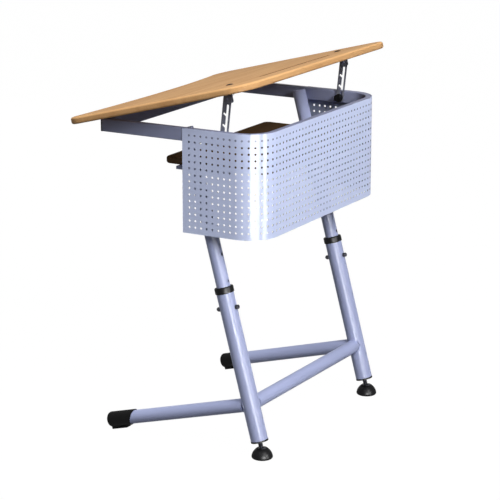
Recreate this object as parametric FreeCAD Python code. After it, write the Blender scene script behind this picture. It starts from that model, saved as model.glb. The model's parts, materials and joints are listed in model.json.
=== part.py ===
"""Tilting school desk: a wooden board that hinges at the front and is held at
the rear by two notched struts, on a bent tube frame with a perforated skirt
panel and a book shelf, over two leaning telescopic legs.

Millimetres. +X is the user's right, +Y runs from the user to the rear, +Z is
up. The model is drawn with y = 0 on the rear face of the skirt panel, and is
moved at the end so that the origin is under the middle of the whole desk.
The rest pose is the board at its steepest, on the tallest leg setting.
"""
import FreeCAD, Part
import math
import os

# Desk board
board_width = 700.0
board_depth = 510.0
board_thick = 16.0
board_front_corner = 40.0
board_rear_corner = 60.0
board_cutout_deep = 63.0
board_edge_round = 5.0
tilt_angle = 14.6
front_overhang = 78.0
groove_side_margin = 192.0
groove_radius = 6.0
groove_deep = 4.5
groove_from_front = 435.5

# Upper frame of bent rectangular tube
frame_height = 755.0
board_side_overhang = 56.0
rail_high = 30.0
rail_wide = 15.0
rail_wall = 1.5
frame_reach = 423.0
bend_radius = 69.0
front_rail_set_back = 8.0
rail_cap_thick = 5.0
rail_cap_round = 4.6
rail_cap_plug = 12.0

# Perforated skirt panel, wrapped round the outside of the frame
panel_thick = 1.0
panel_high = 240.0
panel_reach = 202.7
hole_size = 5.0
hole_pitch = 15.0
hole_rows = 15
hole_side_margin = 8.0
hole_top_margin = 15.0
hole_sides = 6
drawn_every = 2

# Telescopic legs, leaning with their feet to the rear
lean_angle = 15.0
leg_floor_setback = 10.5
inner_tube_radius = 16.0
inner_tube_wall = 2.0
inner_tube_below_frame_top = 5.44
inner_tube_length = 580.0
sleeve_radius = 20.0
sleeve_wall = 2.0
sleeve_rise = 44.0
sleeve_length = 355.0
height_step = 62.0
height_steps = 2
adjust_hole_radius = 3.5
slide_gap = 0.3
tube_guide_flange = 3.0
tube_guide_plug = 16.0

# Guide collar on the sleeve
collar_radius = 22.0
collar_high = 15.0
collar_round = 2.5
collar_skirt = 24.0

# Lock bolt through the sleeve, below the collar
lock_below_sleeve_top = 43.0
lock_bolt_radius = 3.0
lock_head_radius = 5.0
lock_head_high = 6.0
lock_head_round = 1.0
lock_socket_flats = 5.0
lock_socket_deep = 3.0
lock_washer_radius = 5.5
lock_washer_thick = 1.6
dome_nut_flats = 10.0
dome_nut_hex_high = 5.5
dome_nut_dome_radius = 4.7

# Base of round tube
base_tube_radius = 16.0
base_tube_wall = 2.0
base_joint_rise = 128.2
base_tube_reach = 389.0

# Front foot caps with a skid pad
foot_cap_radius = 18.3
foot_cap_reach = 399.2
foot_cap_round = 7.0
foot_cap_top_length = 75.8
foot_cap_bottom_length = 59.7
skid_width = 16.0
skid_start = 351.3
skid_ramp = 9.0
skid_end = 394.2

# Levelling feet in the lower ends of the sleeves
plug_rim = 4.0
plug_rim_over = 0.4
plug_depth = 18.0
stem_radius = 5.5
stem_gap = 0.08
stem_top_rise = 62.0
ball_radius = 12.6
ball_height = 15.0
ball_gap = 0.1
pad_height = 24.5
pad_base_radius = 21.5
pad_rim_radius = 24.7
pad_rim_height = 4.5
pad_neck_radius = 11.4
pad_mouth_radius = 10.4
pad_shoulder_radius = 19.6
pad_shoulder_height = 17.0
pad_foot_bulge = 0.7
pad_foot_bulge_at = 0.35

# Book shelf and its brackets
shelf_below_frame_top = 85.0
shelf_thick = 16.0
shelf_side_gap = 12.0
shelf_front = 289.0
shelf_rear = 6.0
shelf_corner = 16.0
shelf_edge_round = 5.0
bracket_front = 249.0
bracket_rear = 105.0
bracket_flat = 24.0
bracket_drop = 7.0
bracket_thick = 2.0
shelf_screw_head_radius = 4.0
shelf_screw_head_high = 2.0
shelf_screw_radius = 2.0
shelf_screw_length = 12.0
shelf_screw_inset = 22.0
shelf_screw_gap = 0.1

# Butt hinges between the front rail and the board
hinge_axis_ahead = 4.0
hinge_axis_below_top = 3.0
hinge_drop = 3.9
hinge_from_rail_end = 79.0
hinge_width = 60.0
hinge_leaf_thick = 2.0
hinge_knuckles = 5
hinge_knuckle_gap = 0.3
knuckle_radius = 3.3
hinge_pin_radius = 1.5
hinge_pin_gap = 0.06
fixed_leaf_deep = 20.0
moving_leaf_deep = 22.0
leaf_relief = 0.5
hinge_screw_radius = 1.75
hinge_screw_length = 12.0
hinge_screw_head_radius = 3.5
hinge_screw_head_high = 1.4
hinge_screw_inset = 9.0
hinge_screw_gap = 0.1

# Strut brackets under the board
strut_pivot_reach = 332.0
strut_pivot_drop = 12.0
bracket_plate = 2.5
ear_front = 7.0
ear_rear = 12.0
ear_drop = 22.5
ear_corner = 4.0
flange_wide = 38.4
rivet_radius = 3.0
rivet_head_radius = 5.0
rivet_head_high = 2.4
rivet_gap = 0.06
board_bolt_radius = 3.0
board_bolt_head_radius = 9.0
board_bolt_head_high = 2.6
board_nut_flats = 10.0
board_nut_high = 5.0

# Notched struts
strut_thick = 3.0
strut_width = 20.0
strut_gap = 0.5
strut_above_pivot = 8.0
strut_below_bolt = 11.0
strut_corner = 6.0
slot_width = 6.6
slot_offset = 3.0
slot_end_gap = 0.4
notch_first = 34.4
notch_pitch = 26.0
notch_count = 3
notch_reach = 7.3
notch_drop = 4.6
notch_width = 5.6

# Clamp bolts and knobs on the struts
clamp_radius = 3.0
clamp_set_back = 102.2
clamp_end_gap = 0.3
clamp_washer_radius = 6.0
clamp_washer_thick = 1.2
clamp_washer_gap = 0.3
knob_radius = 9.35
knob_long = 14.0
knob_boss_radius = 6.0
knob_boss_long = 3.0
knob_round = 2.0
knob_flutes = 8
knob_flute_radius = 3.0
knob_flute_offset = 11.2
knob_bore_depth = 9.0
knob_gap = 0.06

# One overrun for every cut that passes through a face
overrun = 5.0

SIDES = {"left": -1, "right": 1}

# Sizes that follow from the ones above
lean = math.radians(lean_angle)
tilt = math.radians(tilt_angle)
frame_width = board_width - 2 * board_side_overhang
panel_half_width = frame_width / 2 + panel_thick
panel_bend = bend_radius + panel_thick
rail_inner_x = frame_width / 2 - rail_wide
rail_bottom = frame_height - rail_high
leg_x = rail_inner_x - inner_tube_radius
inner_tube_top = (frame_height - inner_tube_below_frame_top) / math.cos(lean)
sleeve_top = sleeve_rise + sleeve_length
lock_rise = sleeve_top - lock_below_sleeve_top
inner_tube_low = inner_tube_top - inner_tube_length
panel_bottom = frame_height - panel_high
panel_half_run = panel_half_width - panel_bend + panel_bend * math.pi / 2 + panel_reach - panel_bend
hole_columns_each_side = int((panel_half_run - hole_side_margin) / hole_pitch)
shelf_top = frame_height - shelf_below_frame_top
shelf_width = 2 * (leg_x - inner_tube_radius - shelf_side_gap)
hinge_spacing = 2 * (rail_inner_x - hinge_from_rail_end)
groove_length = board_width - 2 * groove_side_margin
hinge_y = -(frame_reach - front_rail_set_back + hinge_axis_ahead)
hinge_z = frame_height - hinge_axis_below_top
strut_outer_x = rail_inner_x - strut_gap
strut_inner_x = strut_outer_x - strut_thick
ear_outer_x = strut_inner_x - slide_gap
ear_inner_x = ear_outer_x - bracket_plate
clamp_z = frame_height - rail_high / 2


def vec(x, y, z):
    return FreeCAD.Vector(x, y, z)


X_AXIS = vec(1, 0, 0)
Y_AXIS = vec(0, 1, 0)
Z_AXIS = vec(0, 0, 1)
ORIGIN = vec(0, 0, 0)


def placed(shape, base, angle, axis=X_AXIS):
    """A copy of the shape, turned about the axis and moved to the base."""
    copy = shape.copy()
    copy.Placement = FreeCAD.Placement(base, FreeCAD.Rotation(axis, angle)).multiply(copy.Placement)
    return copy


def mirrored(shape):
    return shape.mirror(ORIGIN, X_AXIS)


def box(x0, x1, y0, y1, z0, z1):
    return Part.makeBox(x1 - x0, y1 - y0, z1 - z0, vec(x0, y0, z0))


def rod(radius, start, end):
    run = end - start
    return Part.makeCylinder(radius, run.Length, start, run)


def pipe(outer, inner, start, end):
    along = (end - start).normalize()
    return rod(outer, start, end).cut(rod(inner, start - along * overrun, end + along * overrun))


def outline_face(points):
    return Part.Face(Part.makePolygon(list(points) + [points[0]]))


def turned(points):
    """A solid of revolution about Z from an outline of (radius, height) pairs and arcs."""
    edges = []
    here = points[0]
    for item in points[1:]:
        if len(item) == 3:
            middle, there = item[1], item[2]
            edges.append(Part.Arc(vec(here[0], 0, here[1]), vec(middle[0], 0, middle[1]),
                                  vec(there[0], 0, there[1])).toShape())
        else:
            there = item
            edges.append(Part.LineSegment(vec(here[0], 0, here[1]), vec(there[0], 0, there[1])).toShape())
        here = there
    return Part.Face(Part.Wire(edges)).revolve(ORIGIN, Z_AXIS, 360)


def quarter(centre, radius, start_angle, end_angle):
    """An arc item for turned(): from the running point round the centre to the end angle."""
    middle = math.radians((start_angle + end_angle) / 2)
    end = math.radians(end_angle)
    return ("arc", (centre[0] + radius * math.cos(middle), centre[1] + radius * math.sin(middle)),
            (centre[0] + radius * math.cos(end), centre[1] + radius * math.sin(end)))


def hexagon(flats, high):
    side = flats / math.sqrt(3)
    turns = [math.pi * k / 3 for k in range(6)]
    ring = [vec(side * math.cos(turn), side * math.sin(turn), 0) for turn in turns]
    return outline_face(ring).extrude(Z_AXIS * high)


def low_dome(radius, high):
    """A cap of a sphere on z = 0, such as a rivet's or a round screw's head."""
    curve = (radius ** 2 + high ** 2) / (2 * high)
    half = math.asin(min(radius / curve, 1)) / 2
    middle = (curve * math.sin(half), high - curve + curve * math.cos(half))
    return turned([(0, 0), (radius, 0), ("arc", middle, (0, high)), (0, 0)])


def rounded_plate(half_x, y0, y1, corner, thick):
    """A flat plate on z = 0 with rounded corners in plan."""
    plate = box(-half_x, half_x, y0, y1, 0, thick)
    upright = [edge for edge in plate.Edges
               if abs(edge.Vertexes[0].Point.z - edge.Vertexes[1].Point.z) > thick / 2]
    return plate.makeFillet(corner, upright)


def rim_edges(shape, levels):
    """Edges that lie wholly on one of the given z levels."""
    found = []
    for edge in shape.Edges:
        low, high = edge.BoundBox.ZMin, edge.BoundBox.ZMax
        if any(abs(low - level) < slide_gap and abs(high - level) < slide_gap for level in levels):
            found.append(edge)
    return found


# Places along the leg, the base tube, the board and the strut

def on_leg(shape, side):
    """From a leg drawn on the Z axis, floor at z = 0, rear towards +Y, to its place."""
    return placed(shape, vec(side * leg_x, -leg_floor_setback, 0), lean_angle)


def leg_point(rise):
    """y and z of the leg's axis at a distance along it from the floor."""
    return vec(0, -leg_floor_setback - rise * math.sin(lean), rise * math.cos(lean))


def on_base(shape, side):
    """From a base tube drawn on the Z axis, its upper side towards +Y, to its place."""
    joint = leg_point(base_joint_rise)
    return placed(shape, vec(side * leg_x, joint.y, joint.z), 90 + lean_angle)


def on_board(shape):
    """From a board drawn flat, with the hinge axis on X at y = 0, z = 0, to its tilted place."""
    return placed(shape, vec(0, hinge_y, hinge_z), tilt_angle)


def pivot_point(angle):
    """The strut pivot, with the board raised by an angle in radians."""
    y = strut_pivot_reach
    z = hinge_drop - strut_pivot_drop
    return vec(0, hinge_y + y * math.cos(angle) - z * math.sin(angle),
               hinge_z + y * math.sin(angle) + z * math.cos(angle))


def strut_pose(angle):
    """The strut's lean from upright, and how far down its slot the clamp bolt is."""
    reach = vec(0, -clamp_set_back, clamp_z) - pivot_point(angle)
    direct = math.atan2(-reach.y, -reach.z)
    return direct + math.asin(slot_offset / reach.Length), math.sqrt(reach.Length ** 2 - slot_offset ** 2)


strut_lean, bolt_down_slot = strut_pose(tilt)
flat_strut_lean, flat_bolt_down_slot = strut_pose(0)
strut_swing = flat_strut_lean - strut_lean - tilt
bolt_travel = bolt_down_slot - flat_bolt_down_slot


def on_strut(shape):
    """From a strut drawn hanging down from the origin, its rear towards +Y, to its place."""
    return placed(shape, pivot_point(tilt), -math.degrees(strut_lean))


# Upper frame

def wrapped_band(inset, wide, reach, z0, z1):
    """A band that follows the panel's outer line, inset by a distance and open at the front."""
    def line(offset):
        half = panel_half_width - offset
        radius = panel_bend - offset
        turn = radius * (1 - math.sqrt(0.5))
        straight = half - radius
        return [vec(-half, -reach, z0), vec(-half, -panel_bend, z0),
                vec(-half + turn, -offset - turn, z0), vec(-straight, -offset, z0),
                vec(straight, -offset, z0), vec(half - turn, -offset - turn, z0),
                vec(half, -panel_bend, z0), vec(half, -reach, z0)]

    outer = line(inset)
    inner = line(inset + wide)
    edges = []
    for side in (outer, inner):
        edges.append(Part.LineSegment(side[0], side[1]).toShape())
        edges.append(Part.Arc(side[1], side[2], side[3]).toShape())
        edges.append(Part.LineSegment(side[3], side[4]).toShape())
        edges.append(Part.Arc(side[4], side[5], side[6]).toShape())
        edges.append(Part.LineSegment(side[6], side[7]).toShape())
    edges.append(Part.LineSegment(outer[0], inner[0]).toShape())
    edges.append(Part.LineSegment(outer[-1], inner[-1]).toShape())
    wire = Part.Wire(Part.__sortEdges__(edges))
    return Part.Face(wire).extrude(Z_AXIS * (z1 - z0))


def rail_frame():
    reach = frame_reach - rail_cap_thick
    tube = wrapped_band(panel_thick, rail_wide, reach, rail_bottom, frame_height)
    hollow = wrapped_band(panel_thick + rail_wall, rail_wide - 2 * rail_wall, reach + overrun,
                          rail_bottom + rail_wall, frame_height - rail_wall)
    return tube.cut(hollow)


def front_rail():
    front = -frame_reach + front_rail_set_back
    tube = box(-rail_inner_x, rail_inner_x, front, front + rail_wide, rail_bottom, frame_height)
    return tube.cut(box(-rail_inner_x - overrun, rail_inner_x + overrun, front + rail_wall,
                        front + rail_wide - rail_wall, rail_bottom + rail_wall, frame_height - rail_wall))


def rail_cap(side):
    front = -frame_reach
    face = box(rail_inner_x, rail_inner_x + rail_wide, front, front + rail_cap_thick,
               rail_bottom, frame_height)
    rim = [edge for edge in face.Edges if edge.BoundBox.YMax < front + rail_cap_thick / 2]
    face = face.makeFillet(rail_cap_round, rim)
    plug = box(rail_inner_x + rail_wall, rail_inner_x + rail_wide - rail_wall,
               front + rail_cap_thick, front + rail_cap_thick + rail_cap_plug,
               rail_bottom + rail_wall, frame_height - rail_wall)
    cap = face.fuse(plug).removeSplitter()
    return cap if side > 0 else mirrored(cap)


# Perforated skirt panel

def hole_prism():
    """A straight hole through a sheet that stands on y = 0, drawn with few sides."""
    ring = []
    for k in range(hole_sides):
        turn = 2 * math.pi * (k + 0.5) / hole_sides
        ring.append(vec(hole_size / 2 * math.cos(turn), overrun, hole_size / 2 * math.sin(turn)))
    return outline_face(ring).extrude(Y_AXIS * -2 * overrun)


def place_on_panel(shape, along, z):
    """From a shape at the origin, rear towards +Y, to a distance along the panel's outer line."""
    side = 1 if along >= 0 else -1
    flat = panel_half_width - panel_bend
    bend = panel_bend * math.pi / 2
    run = abs(along)
    if run <= flat:
        return placed(shape, vec(side * run, 0, z), 0, Z_AXIS)
    if run <= flat + bend:
        turn = (run - flat) / panel_bend
        base = vec(side * (flat + panel_bend * math.sin(turn)), -panel_bend * (1 - math.cos(turn)), z)
        return placed(shape, base, -side * math.degrees(turn), Z_AXIS)
    along_side = run - flat - bend
    return placed(shape, vec(side * panel_half_width, -panel_bend - along_side, z), -side * 90, Z_AXIS)


def perforated_panel():
    """The whole bent sheet, cut at its bends so that each stretch has a plain outline."""
    sheet = wrapped_band(0, panel_thick, panel_reach, panel_bottom, frame_height)
    flat = panel_half_width - panel_bend
    far = panel_half_width + overrun
    stretches = {
        "panel_back": (-flat, flat, -panel_bend, overrun, 0, flat),
        "panel_corner_right": (flat, far, -panel_bend, overrun, flat, flat + panel_bend * math.pi / 2),
        "panel_side_right": (flat, far, -panel_reach - overrun, -panel_bend,
                             flat + panel_bend * math.pi / 2, panel_reach + 2 * panel_half_width),
    }
    prism = hole_prism()
    parts = {}
    for name, (x0, x1, y0, y1, from_run, to_run) in stretches.items():
        piece = sheet.common(box(x0, x1, y0, y1, panel_bottom - overrun, frame_height + overrun))
        holes = []
        for column in range(-hole_columns_each_side, hole_columns_each_side + 1, drawn_every):
            along = column * hole_pitch
            inside = from_run <= abs(along) < to_run
            if not inside or (name != "panel_back" and column < 0):
                continue
            for row in range(0, hole_rows, drawn_every):
                z = frame_height - hole_top_margin - row * hole_pitch
                holes.append(place_on_panel(prism, along, z))
        piece = piece.cut(Part.Compound(holes))
        parts[name] = piece.Solids[0]
    for kind in ("panel_corner", "panel_side"):
        parts[kind + "_left"] = mirrored(parts[kind + "_right"])
    return parts


# Legs and base

def inner_tube(side):
    tube = pipe(inner_tube_radius, inner_tube_radius - inner_tube_wall,
                vec(0, 0, inner_tube_low), vec(0, 0, inner_tube_top))
    for step in range(height_steps + 1):
        rise = lock_rise + step * height_step
        tube = tube.cut(rod(adjust_hole_radius, vec(0, -inner_tube_radius - overrun, rise),
                            vec(0, inner_tube_radius + overrun, rise)))
    return on_leg(tube, side)


def tube_guide(side):
    """Plastic plug in the lower end of the inner tube, which guides it in the sleeve."""
    flange_radius = sleeve_radius - sleeve_wall - slide_gap
    flange = rod(flange_radius, vec(0, 0, inner_tube_low - tube_guide_flange), vec(0, 0, inner_tube_low))
    plug = pipe(inner_tube_radius - inner_tube_wall, inner_tube_radius - 2 * inner_tube_wall,
                vec(0, 0, inner_tube_low), vec(0, 0, inner_tube_low + tube_guide_plug))
    return on_leg(flange.fuse(plug), side)


def sleeve_solid():
    tube = pipe(sleeve_radius, sleeve_radius - sleeve_wall, vec(0, 0, sleeve_rise), vec(0, 0, sleeve_top))
    return tube.cut(rod(adjust_hole_radius, vec(0, -sleeve_radius - overrun, lock_rise),
                        vec(0, sleeve_radius + overrun, lock_rise)))


def leg_sleeve(side):
    return on_leg(sleeve_solid(), side)


def collar(side):
    """Plastic bush: a band round the sleeve's end, and a skirt that goes down inside it."""
    bore = inner_tube_radius + slide_gap
    top = sleeve_top + collar_high / 2
    low = sleeve_top - collar_high / 2
    c = collar_round
    low_c = min(collar_round, collar_radius - sleeve_radius - slide_gap)
    bush = turned([
        (bore, top), (collar_radius - c, top), quarter((collar_radius - c, top - c), c, 90, 0),
        (collar_radius, low + low_c), quarter((collar_radius - low_c, low + low_c), low_c, 0, -90),
        (sleeve_radius, low), (sleeve_radius, sleeve_top),
        (sleeve_radius - sleeve_wall, sleeve_top), (sleeve_radius - sleeve_wall, sleeve_top - collar_skirt),
        (bore, sleeve_top - collar_skirt), (bore, top)])
    return on_leg(bush, side)


def lock_bolt_solid():
    """Round socket head and the stub of shank at the rear wall of the sleeve."""
    seat = sleeve_radius + lock_washer_thick
    r = lock_head_round
    head = turned([
        (0, 0), (lock_head_radius, 0), (lock_head_radius, lock_head_high - r),
        quarter((lock_head_radius - r, lock_head_high - r), r, 0, 90), (0, lock_head_high), (0, 0)])
    socket = hexagon(lock_socket_flats, lock_socket_deep + overrun)
    head = head.cut(placed(socket, vec(0, 0, lock_head_high - lock_socket_deep), 0))
    shank = rod(lock_bolt_radius, vec(0, 0, inner_tube_radius + slide_gap), vec(0, 0, seat))
    head.translate(vec(0, 0, seat))
    return placed(head.fuse(shank), vec(0, 0, lock_rise), -90)


def lock_washer_solid():
    ring = pipe(lock_washer_radius, lock_bolt_radius, vec(0, 0, sleeve_radius),
                vec(0, 0, sleeve_radius + lock_washer_thick))
    return placed(ring, vec(0, 0, lock_rise), -90)


def dome_nut_solid():
    """Cap nut on the bolt's front end, with the stub of shank at the front wall."""
    seat = sleeve_radius + lock_washer_thick
    hex_part = hexagon(dome_nut_flats, dome_nut_hex_high)
    hex_part.translate(vec(0, 0, seat))
    dome = low_dome(dome_nut_dome_radius, dome_nut_dome_radius)
    dome.translate(vec(0, 0, seat + dome_nut_hex_high))
    shank = rod(lock_bolt_radius, vec(0, 0, inner_tube_radius + slide_gap), vec(0, 0, seat))
    return placed(hex_part.fuse(dome).fuse(shank), vec(0, 0, lock_rise), 90)


def lock_bolts():
    return Part.Compound([on_leg(lock_bolt_solid(), side) for side in SIDES.values()])


def lock_washers():
    rear = lock_washer_solid()
    front = placed(rear, ORIGIN, 180, Z_AXIS)
    return Part.Compound([on_leg(ring, side) for side in SIDES.values() for ring in (rear, front)])


def dome_nuts():
    return Part.Compound([on_leg(dome_nut_solid(), side) for side in SIDES.values()])


def cross_bar():
    joint = leg_point(base_joint_rise)
    bar = pipe(base_tube_radius, base_tube_radius - base_tube_wall,
               vec(-leg_x, joint.y, joint.z), vec(leg_x, joint.y, joint.z))
    for side in SIDES.values():
        bar = bar.cut(on_leg(rod(sleeve_radius, ORIGIN, vec(0, 0, sleeve_top)), side))
    return max(bar.Solids, key=lambda solid: solid.Volume)


def base_tube(side):
    joint = leg_point(base_joint_rise)
    tube = on_base(pipe(base_tube_radius, base_tube_radius - base_tube_wall,
                        ORIGIN, vec(0, 0, base_tube_reach)), side)
    tube = tube.cut(on_leg(rod(sleeve_radius, ORIGIN, vec(0, 0, sleeve_top)), side))
    tube = tube.cut(rod(base_tube_radius, vec(-leg_x, joint.y, joint.z), vec(leg_x, joint.y, joint.z)))
    return max(tube.Solids, key=lambda solid: solid.Volume)


def foot_cap(side):
    """Domed rubber cap on the front end of a base tube, with a skid pad that meets the floor."""
    tip = foot_cap_reach
    r = foot_cap_round
    start = tip - foot_cap_top_length
    shell = turned([
        (0, start), (foot_cap_radius, start), (foot_cap_radius, tip - r),
        quarter((foot_cap_radius - r, tip - r), r, 0, 90), (0, tip), (0, start)])
    shell = shell.cut(rod(base_tube_radius, ORIGIN, vec(0, 0, base_tube_reach)))
    slant = math.degrees(math.atan2(foot_cap_top_length - foot_cap_bottom_length, 2 * foot_cap_radius))
    wide = 2 * foot_cap_top_length
    cutter = placed(box(-wide, wide, -wide, wide, -wide, 0), vec(0, foot_cap_radius, start), -slant)
    shell = shell.cut(cutter)
    joint = leg_point(base_joint_rise)
    skid_low = (joint.z - skid_end * math.sin(lean)) / math.cos(lean)
    half = skid_width / 2
    side_view = outline_face([vec(-half, 0, skid_start - skid_ramp), vec(-half, 0, skid_end),
                              vec(-half, -skid_low, skid_end), vec(-half, -skid_low, skid_start),
                              vec(-half, -skid_low + skid_ramp, skid_start - skid_ramp)])
    skid = side_view.extrude(vec(skid_width, 0, 0))
    skid = skid.cut(rod((foot_cap_radius + base_tube_radius) / 2, ORIGIN, vec(0, 0, foot_cap_reach)))
    return on_base(shell.fuse(skid).removeSplitter(), side)


# Levelling feet

def sleeve_plug(side):
    """Plug in the lower end of the sleeve, with the hole that the stem screws through."""
    rim = rod(sleeve_radius + plug_rim_over, vec(0, 0, sleeve_rise - plug_rim), vec(0, 0, sleeve_rise))
    insert = rod(sleeve_radius - sleeve_wall, vec(0, 0, sleeve_rise), vec(0, 0, sleeve_rise + plug_depth))
    plug = rim.fuse(insert).cut(rod(stem_radius + stem_gap, vec(0, 0, sleeve_rise - plug_rim - overrun),
                                    vec(0, 0, sleeve_rise + plug_depth + overrun)))
    return on_leg(plug, side)


def foot_stem(side):
    ball_rise = ball_height / math.cos(lean)
    shank = rod(stem_radius, vec(0, 0, ball_rise), vec(0, 0, stem_top_rise))
    return on_leg(shank.fuse(Part.makeSphere(ball_radius, vec(0, 0, ball_rise))), side)


def pad_solid():
    """Dome with its widest line a little above the floor, and a socket for the stem's ball."""
    foot_radius = pad_base_radius + (pad_rim_radius - pad_base_radius) * pad_foot_bulge
    outline = [
        (0, 0), (pad_base_radius, 0),
        ("arc", (foot_radius, pad_rim_height * pad_foot_bulge_at), (pad_rim_radius, pad_rim_height)),
        ("arc", (pad_shoulder_radius, pad_shoulder_height), (pad_neck_radius, pad_height)),
        (0, pad_height), (0, 0)]
    pad = turned(outline)
    pad = pad.cut(Part.makeSphere(ball_radius + ball_gap, vec(0, 0, ball_height)))
    mouth = Part.makeCone(stem_radius + ball_gap, pad_mouth_radius, pad_height - ball_height + ball_gap,
                          vec(0, 0, ball_height))
    return pad.cut(mouth)


def foot_pad(side):
    centre = leg_point(ball_height / math.cos(lean))
    return placed(pad_solid(), vec(side * leg_x, centre.y, 0), 0)


# Shelf

def shelf_screw_places(side):
    x = leg_x - inner_tube_radius - bracket_flat / 2 - bracket_thick / 2
    low = shelf_top - shelf_thick - bracket_thick
    places = (-bracket_front + shelf_screw_inset, -bracket_rear - shelf_screw_inset)
    return [vec(side * x, y, low) for y in places]


def shelf_screw_hole(place):
    """The hole for one screw, through the bracket's flat and up into the shelf."""
    return rod(shelf_screw_radius + shelf_screw_gap, place - Z_AXIS * shelf_screw_gap,
               place + Z_AXIS * (shelf_screw_length + shelf_screw_gap))


def book_shelf():
    plate = rounded_plate(shelf_width / 2, -shelf_front, -shelf_rear, shelf_corner, shelf_thick)
    plate = plate.makeFillet(shelf_edge_round, rim_edges(plate, (0, shelf_thick)))
    plate.translate(vec(0, 0, shelf_top - shelf_thick))
    for side in SIDES.values():
        for place in shelf_screw_places(side):
            plate = plate.cut(shelf_screw_hole(place))
    return plate


def shelf_bracket(side):
    """Steel angle against the leg's inner side, turned down, with its flat under the shelf."""
    outer_x = leg_x - inner_tube_radius
    top = shelf_top - shelf_thick
    flat = box(outer_x - bracket_flat, outer_x, -bracket_front, -bracket_rear, top - bracket_thick, top)
    web = box(outer_x - bracket_thick, outer_x, -bracket_front, -bracket_rear, top - bracket_drop, top)
    angle = flat.fuse(web).removeSplitter()
    for place in shelf_screw_places(1):
        angle = angle.cut(shelf_screw_hole(place))
    return angle if side > 0 else mirrored(angle)


def shelf_screws():
    screws = []
    for side in SIDES.values():
        for place in shelf_screw_places(side):
            head = placed(low_dome(shelf_screw_head_radius, shelf_screw_head_high), ORIGIN, 180)
            shank = rod(shelf_screw_radius, ORIGIN, vec(0, 0, shelf_screw_length))
            screws.append(placed(head.fuse(shank), place, 0))
    return Part.Compound(screws)


# Front hinges

def knuckle_spans(parity):
    """Start and end of each knuckle of one leaf along X, measured from the hinge's middle."""
    pitch = hinge_width / hinge_knuckles
    spans = []
    for k in range(parity, hinge_knuckles, 2):
        start = -hinge_width / 2 + k * pitch
        spans.append((start + hinge_knuckle_gap / 2, start + pitch - hinge_knuckle_gap / 2))
    return spans


def hinge_fixed_leaf(side):
    """Leaf welded to the front face of the front rail, drawn round the axis on X."""
    face_y = -frame_reach + front_rail_set_back - hinge_y
    plate = box(-hinge_width / 2, hinge_width / 2, face_y - hinge_leaf_thick, face_y, -fixed_leaf_deep, 0)
    reach = knuckle_radius + leaf_relief
    for start, end in knuckle_spans(1):
        plate = plate.cut(box(start - hinge_knuckle_gap, end + hinge_knuckle_gap,
                              face_y - hinge_leaf_thick - overrun, face_y + overrun, -reach, overrun))
    leaf = plate
    for start, end in knuckle_spans(0):
        leaf = leaf.fuse(rod(knuckle_radius, vec(start, 0, 0), vec(end, 0, 0)))
    leaf = leaf.removeSplitter().cut(rod(hinge_pin_radius, vec(-hinge_width, 0, 0), vec(hinge_width, 0, 0)))
    return placed(leaf, vec(side * hinge_spacing / 2, hinge_y, hinge_z), 0)


def hinge_screw_places(side):
    """Where the screws enter the moving leaf's underside, on the flat board."""
    y = -moving_leaf_deep + hinge_screw_inset
    return [vec(side * hinge_spacing / 2 + x, y, hinge_drop - hinge_leaf_thick)
            for x in (-hinge_width / 2 + hinge_screw_inset, hinge_width / 2 - hinge_screw_inset)]


def hinge_screw_hole(place):
    return rod(hinge_screw_radius + hinge_screw_gap, place - Z_AXIS * hinge_screw_gap,
               place + Z_AXIS * (hinge_screw_length + hinge_screw_gap))


def hinge_moving_leaf(side):
    """Leaf screwed under the board ahead of the axis, drawn on the flat board."""
    reach = knuckle_radius + leaf_relief
    plate = box(-hinge_width / 2, hinge_width / 2, -moving_leaf_deep, 0,
                hinge_drop - hinge_leaf_thick, hinge_drop)
    for start, end in knuckle_spans(0):
        plate = plate.cut(box(start - hinge_knuckle_gap, end + hinge_knuckle_gap, -reach, overrun,
                              -knuckle_radius, hinge_drop + overrun))
    leaf = plate
    for start, end in knuckle_spans(1):
        leaf = leaf.fuse(rod(knuckle_radius, vec(start, 0, 0), vec(end, 0, 0)))
    leaf = leaf.removeSplitter()
    leaf = leaf.cut(rod(hinge_pin_radius + hinge_pin_gap, vec(-hinge_width, 0, 0), vec(hinge_width, 0, 0)))
    leaf.translate(vec(side * hinge_spacing / 2, 0, 0))
    for place in hinge_screw_places(side):
        leaf = leaf.cut(hinge_screw_hole(place))
    return on_board(leaf)


def hinge_pins():
    pins = []
    for side in SIDES.values():
        middle = side * hinge_spacing / 2
        pins.append(rod(hinge_pin_radius, vec(middle - hinge_width / 2, hinge_y, hinge_z),
                        vec(middle + hinge_width / 2, hinge_y, hinge_z)))
    return Part.Compound(pins)


def hinge_screws():
    screws = []
    for side in SIDES.values():
        for place in hinge_screw_places(side):
            head = rod(hinge_screw_head_radius, vec(0, 0, -hinge_screw_head_high), ORIGIN)
            shank = rod(hinge_screw_radius, ORIGIN, vec(0, 0, hinge_screw_length))
            screws.append(on_board(placed(head.fuse(shank), place, 0)))
    return Part.Compound(screws)


# Board and what it carries

def board_y(from_front):
    """Distance from the hinge axis, along the board, of a line given from its front edge."""
    return from_front - front_overhang


def bracket_bolt_x():
    return ear_inner_x + bracket_plate - flange_wide / 2


def board_blank():
    """The flat board: a hollow front edge, and four corners rounded in plan."""
    half = board_width / 2
    front, rear = board_y(0), board_y(board_depth)
    edges = [
        Part.Arc(vec(-half, front, 0), vec(0, front + board_cutout_deep, 0), vec(half, front, 0)).toShape(),
        Part.makeLine(vec(half, front, 0), vec(half, rear, 0)),
        Part.makeLine(vec(half, rear, 0), vec(-half, rear, 0)),
        Part.makeLine(vec(-half, rear, 0), vec(-half, front, 0))]
    plate = Part.Face(Part.Wire(edges)).extrude(vec(0, 0, board_thick))
    for y, corner in ((front, board_front_corner), (rear, board_rear_corner)):
        upright = [edge for edge in plate.Edges
                   if edge.BoundBox.ZLength > board_thick / 2 and abs(edge.BoundBox.YMin - y) < slide_gap]
        plate = plate.makeFillet(corner, upright)
    return plate


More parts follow.
